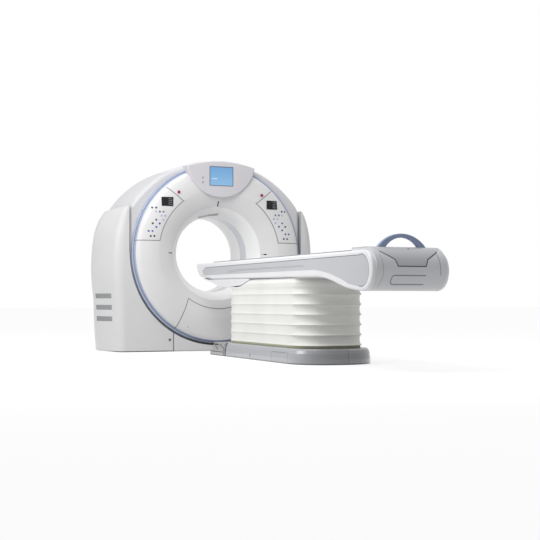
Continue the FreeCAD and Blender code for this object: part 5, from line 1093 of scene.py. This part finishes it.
# Olive painted shade on the recessed band at the bellows' foot.
rubber_paint.cover(z.fall(HEM_TOP_Z - HEM_EDGE, HEM_TOP_Z), HEM_SHADE, depth=0.8)
rubber_paint.vary_roughness(scale=12.0, detail=3.0, low=0.6, spread=0.15)
rubber_paint.bump(rubber_paint.noise(GRAIN_SCALE, 2.0), GRAIN_HEIGHT)
FINISH["bellows_cream"] = rubber_paint
print(len(FINISH), "finishes")

# %% [markdown]
# With every finish made, each node of the frame takes the one that the record names for it. Only the
# material slots are touched; the meshes stay as they came.

# %% Dress the nodes
slot_of = {part["node"]: part["material_slot"] for part in frame["record"]["subparts"]}
for name, piece in nodes.items():
    paint = FINISH[slot_of[name]]
    for slot in piece.material_slots:
        slot.material = paint.material
    if not piece.material_slots:
        piece.data.materials.append(paint.material)
print("dressed", len(nodes))

# %% [markdown]
# The bellows hides the lift column. On the real couch it is one moulded skin: a rounded rectangle in
# plan, wider rounded at the foot end, folded into sharp ridges with hollow flanks. So the plan is
# drawn once, its corners are bevelled, and its outline is then extruded upwards ring by ring.

# %% Draw the bellows in plan
BELLOWS_HEAD_CORNER = 0.040
BELLOWS_FOOT_CORNER = 0.200
CORNER_SEGMENTS = 14
LONG_CUTS = 14
LONG_EDGE = 0.3
NEAR = 0.001

skin_low, skin_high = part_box("bellows")
skin = bmesh.new()
plan_corners = (
    (skin_low.x, skin_low.y), (skin_high.x, skin_low.y),
    (skin_high.x, skin_high.y), (skin_low.x, skin_high.y),
)
skin.faces.new([skin.verts.new((u, v, skin_low.z)) for u, v in plan_corners])
for corner_y, corner_r in ((skin_low.y, BELLOWS_FOOT_CORNER), (skin_high.y, BELLOWS_HEAD_CORNER)):
    corners = [v for v in skin.verts if abs(v.co.y - corner_y) < NEAR]
    bmesh.ops.bevel(skin, geom=corners, offset=corner_r, offset_type="OFFSET", affect="VERTICES",
                    segments=CORNER_SEGMENTS, profile=0.5, material=-1)
long_edges = [e for e in skin.edges if e.calc_length() > LONG_EDGE]
bmesh.ops.subdivide_edges(skin, edges=long_edges, cuts=LONG_CUTS)
print("plan points", len(skin.verts))

# %% [markdown]
# One fold is a list of heights along the pitch, each with the share of the full depth that the skin
# has there. The sharp crest is where the depth is nought. Seven crests are stacked from the lowest to
# the highest, and the skin ends under the couch, whose underside slopes up behind the chin. The long
# sides are pulled in less than the ends.

# %% Stack the folds
CREST_Z = (0.136, 0.600)
FOLDS = 7
FOLD_DEPTH = 0.020
FOLD = ((0.0, 0.0), (0.04, 0.20), (0.09, 0.41), (0.16, 0.63), (0.26, 0.82), (0.40, 0.95), (0.58, 1.0),
        (0.74, 0.96), (0.84, 0.82), (0.91, 0.60), (0.96, 0.33))
SIDE_SHARE = 0.26
SIDE_SHARPNESS = 16
HEM_DEPTH = 0.014
HEM_LIP = (0.9, 0.004)
HEAD_LIP = (0.003, 0.006)
COLLAR_Z = 0.578
COLLAR_DEPTH = 0.005
CHIN_LINE = ((-1.623, 0.587), (-1.812, 0.634))


def skin_top(place_y):
    """How high the skin may reach below the couch at this y."""
    (near_y, near_z), (far_y, far_z) = CHIN_LINE
    share = min(max((near_y - place_y) / (near_y - far_y), 0.0), 1.0)
    return near_z + share * (far_z - near_z)


pitch = (CREST_Z[1] - CREST_Z[0]) / (FOLDS - 1)
levels = [(skin_low.z, HEM_DEPTH), (CREST_Z[0] - HEM_LIP[1], HEM_DEPTH * HEM_LIP[0])]
for fold in range(FOLDS - 1):
    levels += [(CREST_Z[0] + pitch * (fold + part), FOLD_DEPTH * share) for part, share in FOLD]
levels += [(CREST_Z[1], 0.0), (CREST_Z[1] + HEAD_LIP[1], HEAD_LIP[0]), (CHIN_LINE[1][1], COLLAR_DEPTH)]
print(len(levels), "rings,", round(pitch * 1000, 1), "mm a fold")

# %% [markdown]
# Each ring is extruded from the one below and drawn inwards, square to the plan's outline. A little
# smooth noise is added, as soft skins never lie true.

# %% Raise the skin
SKIN_WAVE = 0.0011
WAVE_ALONG = 4
WAVE_UP = 9
SKIN_WALL = 0.003


def outward(place):
    """The direction that points square out of the plan's outline."""
    if place.y < skin_low.y + BELLOWS_FOOT_CORNER:
        corner_r, core_y = BELLOWS_FOOT_CORNER, skin_low.y + BELLOWS_FOOT_CORNER
    elif place.y > skin_high.y - BELLOWS_HEAD_CORNER:
        corner_r, core_y = BELLOWS_HEAD_CORNER, skin_high.y - BELLOWS_HEAD_CORNER
    else:
        corner_r, core_y = BELLOWS_HEAD_CORNER, place.y
    reach = skin_high.x - corner_r
    core_x = min(max(place.x, -reach), reach)
    return Vector((place.x - core_x, place.y - core_y, 0.0)).normalized()


ring_edges = list(skin.edges)
bmesh.ops.delete(skin, geom=skin.faces[:], context="FACES_ONLY")
ring_levels = {vert: levels[0] for vert in skin.verts}
for level in levels[1:]:
    grown = bmesh.ops.extrude_edge_only(skin, edges=ring_edges)["geom"]
    ring_edges = [part for part in grown if isinstance(part, bmesh.types.BMEdge)]
    ring_edges = [e for e in ring_edges if e.is_boundary]
    for vert in {v for e in ring_edges for v in e.verts}:
        ring_levels[vert] = level
for vert, (level_z, depth) in ring_levels.items():
    way = outward(vert.co)
    spot = Vector((vert.co.x * WAVE_ALONG, vert.co.y * WAVE_ALONG, level_z * WAVE_UP))
    wave = noise.noise(spot) * SKIN_WAVE
    top = skin_top(vert.co.y)
    if level_z > COLLAR_Z:
        depth = COLLAR_DEPTH if level_z > top else min(depth, COLLAR_DEPTH)
        wave = 0.0
    depth *= 1 - (1 - SIDE_SHARE) * way.x**SIDE_SHARPNESS
    vert.co += way * (-depth - abs(wave))
    vert.co.z = min(level_z, top)
print("skin faces", len(skin.faces))

# %% [markdown]
# Rings that were pushed down onto the chin's slope lie on each other there, so doubles are merged
# before the faces are turned outwards.

# %% Close the skin
DOUBLES = 0.0002

bmesh.ops.remove_doubles(skin, verts=skin.verts, dist=DOUBLES)
bmesh.ops.recalc_face_normals(skin, faces=skin.faces)
widest = max(skin.faces, key=lambda face: face.calc_center_median().x)
if widest.normal.x < 0:
    bmesh.ops.reverse_faces(skin, faces=skin.faces)
for face in skin.faces:
    face.smooth = True
print("skin closed with", len(skin.faces), "faces")

# %% [markdown]
# Every new piece is kept in the same way. Most ride on one body; the bellows rides on none. It takes
# the place of the plain solid, and a Solidify modifier gives it a wall.


def keep_piece(name, mesh, paint, body=None):
    """Turn a bmesh into a finished piece; with a body, it rides on that body."""
    data = bpy.data.meshes.new(name)
    mesh.to_mesh(data)
    mesh.free()
    piece = bpy.data.objects.new(name, data)
    scene.collection.objects.link(piece)
    data.materials.append(paint.material)
    if body:
        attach(piece, body)
    return piece


bellows_skin = keep_piece("bellows_skin", skin, FINISH["bellows_cream"])
wall = bellows_skin.modifiers.new("wall", "SOLIDIFY")
wall.thickness = SKIN_WALL
wall.offset = -1
walled = bellows_skin.evaluated_get(bpy.context.evaluated_depsgraph_get())
bellows_skin.data = bpy.data.meshes.new_from_object(walled)
bellows_skin.modifiers.clear()
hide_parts("bellows")
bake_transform(bellows_skin)
widest_x = max(v.co.x for v in bellows_skin.data.vertices)
print("skin reaches x", round(widest_x, 4))

# %% [markdown]
# Covers are held by small screws with a round recess, too fine for the solid model. One head is built
# from a circle: extruded, bevelled, with its recess made by an inset and a push.

# %% Shape a screw's head
SCREW_SEGMENTS = 20
SCREW_PROUD = 0.0008
SCREW_HEIGHT = 0.0016
SCREW_RIM = 0.35
NEAR_TOP = 0.95


def screw_head(at, way, radius):
    """One screw head that looks along way."""
    head = bmesh.new()
    bmesh.ops.create_circle(head, cap_ends=True, radius=radius, segments=SCREW_SEGMENTS)
    grown = bmesh.ops.extrude_face_region(head, geom=head.faces[:])["geom"]
    top_face = [part for part in grown if isinstance(part, bmesh.types.BMFace)][0]
    bmesh.ops.translate(head, verts=top_face.verts, vec=(0, 0, SCREW_HEIGHT))
    bmesh.ops.bevel(head, geom=top_face.edges[:], offset=SCREW_PROUD, affect="EDGES", segments=2,
                    profile=0.5, material=-1)
    top_face = max(head.faces, key=lambda face: face.calc_center_median().z)
    bmesh.ops.inset_individual(head, faces=[top_face], thickness=radius * SCREW_RIM)
    top_face = min(
        (face for face in head.faces if face.calc_center_median().z > SCREW_HEIGHT * NEAR_TOP),
        key=lambda face: face.calc_center_median().xy.length)
    bmesh.ops.translate(head, verts=top_face.verts, vec=(0, 0, -SCREW_PROUD))
    bmesh.ops.recalc_face_normals(head, faces=head.faces)
    turn = way.to_track_quat("Z", "Y").to_matrix().to_4x4()
    sunk = at - way * SCREW_PROUD
    bmesh.ops.transform(head, verts=head.verts, matrix=Matrix.Translation(sunk) @ turn)
    return head


print("a screw's head stands", SCREW_PROUD * 1000, "mm proud")

# %% [markdown]
# A ray from outside finds the surface under each screw and the way it faces, so each sits square on
# its moulding.

# %% Set the cover screws
RAY_REACH = 1.0
SCREWS = (
    # body, radius, start of the ray, its direction
    ("stand_and_base", 0.005, (-0.5, -1.935, 0.034), (1, 0, 0)),
    ("stand_and_base", 0.005, (0.5, -1.935, 0.034), (-1, 0, 0)),
    ("tilting_unit", 0.005, (-0.320, -0.8, 0.227), (0, 1, 0)),
    ("tilting_unit", 0.005, (0.320, -0.8, 0.227), (0, 1, 0)),
    ("tilting_unit", 0.006, (-0.60, 0.45, 2.2), (0, 0, -1)),
    ("tilting_unit", 0.006, (0.60, 0.45, 2.2), (0, 0, -1)),
    ("tilting_unit", 0.006, (-0.25, 0.45, 2.2), (0, 0, -1)),
    ("tilting_unit", 0.006, (0.25, 0.45, 2.2), (0, 0, -1)),
)

depsgraph = bpy.context.evaluated_depsgraph_get()
screw_paint = FINISH["latch_metal"]
for number, (body, radius, start, way) in enumerate(SCREWS):
    hit, at, normal = scene.ray_cast(depsgraph, Vector(start), Vector(way))[:3]
    if not hit or (at - Vector(start)).length > RAY_REACH:
        print("no surface for screw", number)
        continue
    if normal.dot(Vector(way)) > 0:
        normal = -normal
    keep_piece(f"cover_screw_{number + 1}", screw_head(at, normal, radius), screw_paint, body)
print("screws set")

# %% [markdown]
# The floor is a plain sheet that glows a little, so that it burns out to white as studio paper does.
# Its light is kept off the couch, where it would fill every shadow from below. It is staging, not part
# of the object.

# %% Lay the floor
FLOOR_HALF = 60.0
FLOOR_GREY = (0.45, 0.45, 0.45, 1.0)
FLOOR_GLOW = 0.58

floor_mesh = bmesh.new()
bmesh.ops.create_grid(floor_mesh, x_segments=1, y_segments=1, size=FLOOR_HALF)
floor_paint = Paint("studio_floor", FLOOR_GREY, 0.9)
floor_paint.feed("Emission Color", WHITE)
floor_paint.feed("Emission Strength", FLOOR_GLOW)
floor = keep_piece("studio_floor", floor_mesh, floor_paint)
floor.location.z = cad_low.z
floor.visible_diffuse = False
print("floor at z", round(cad_low.z, 4))
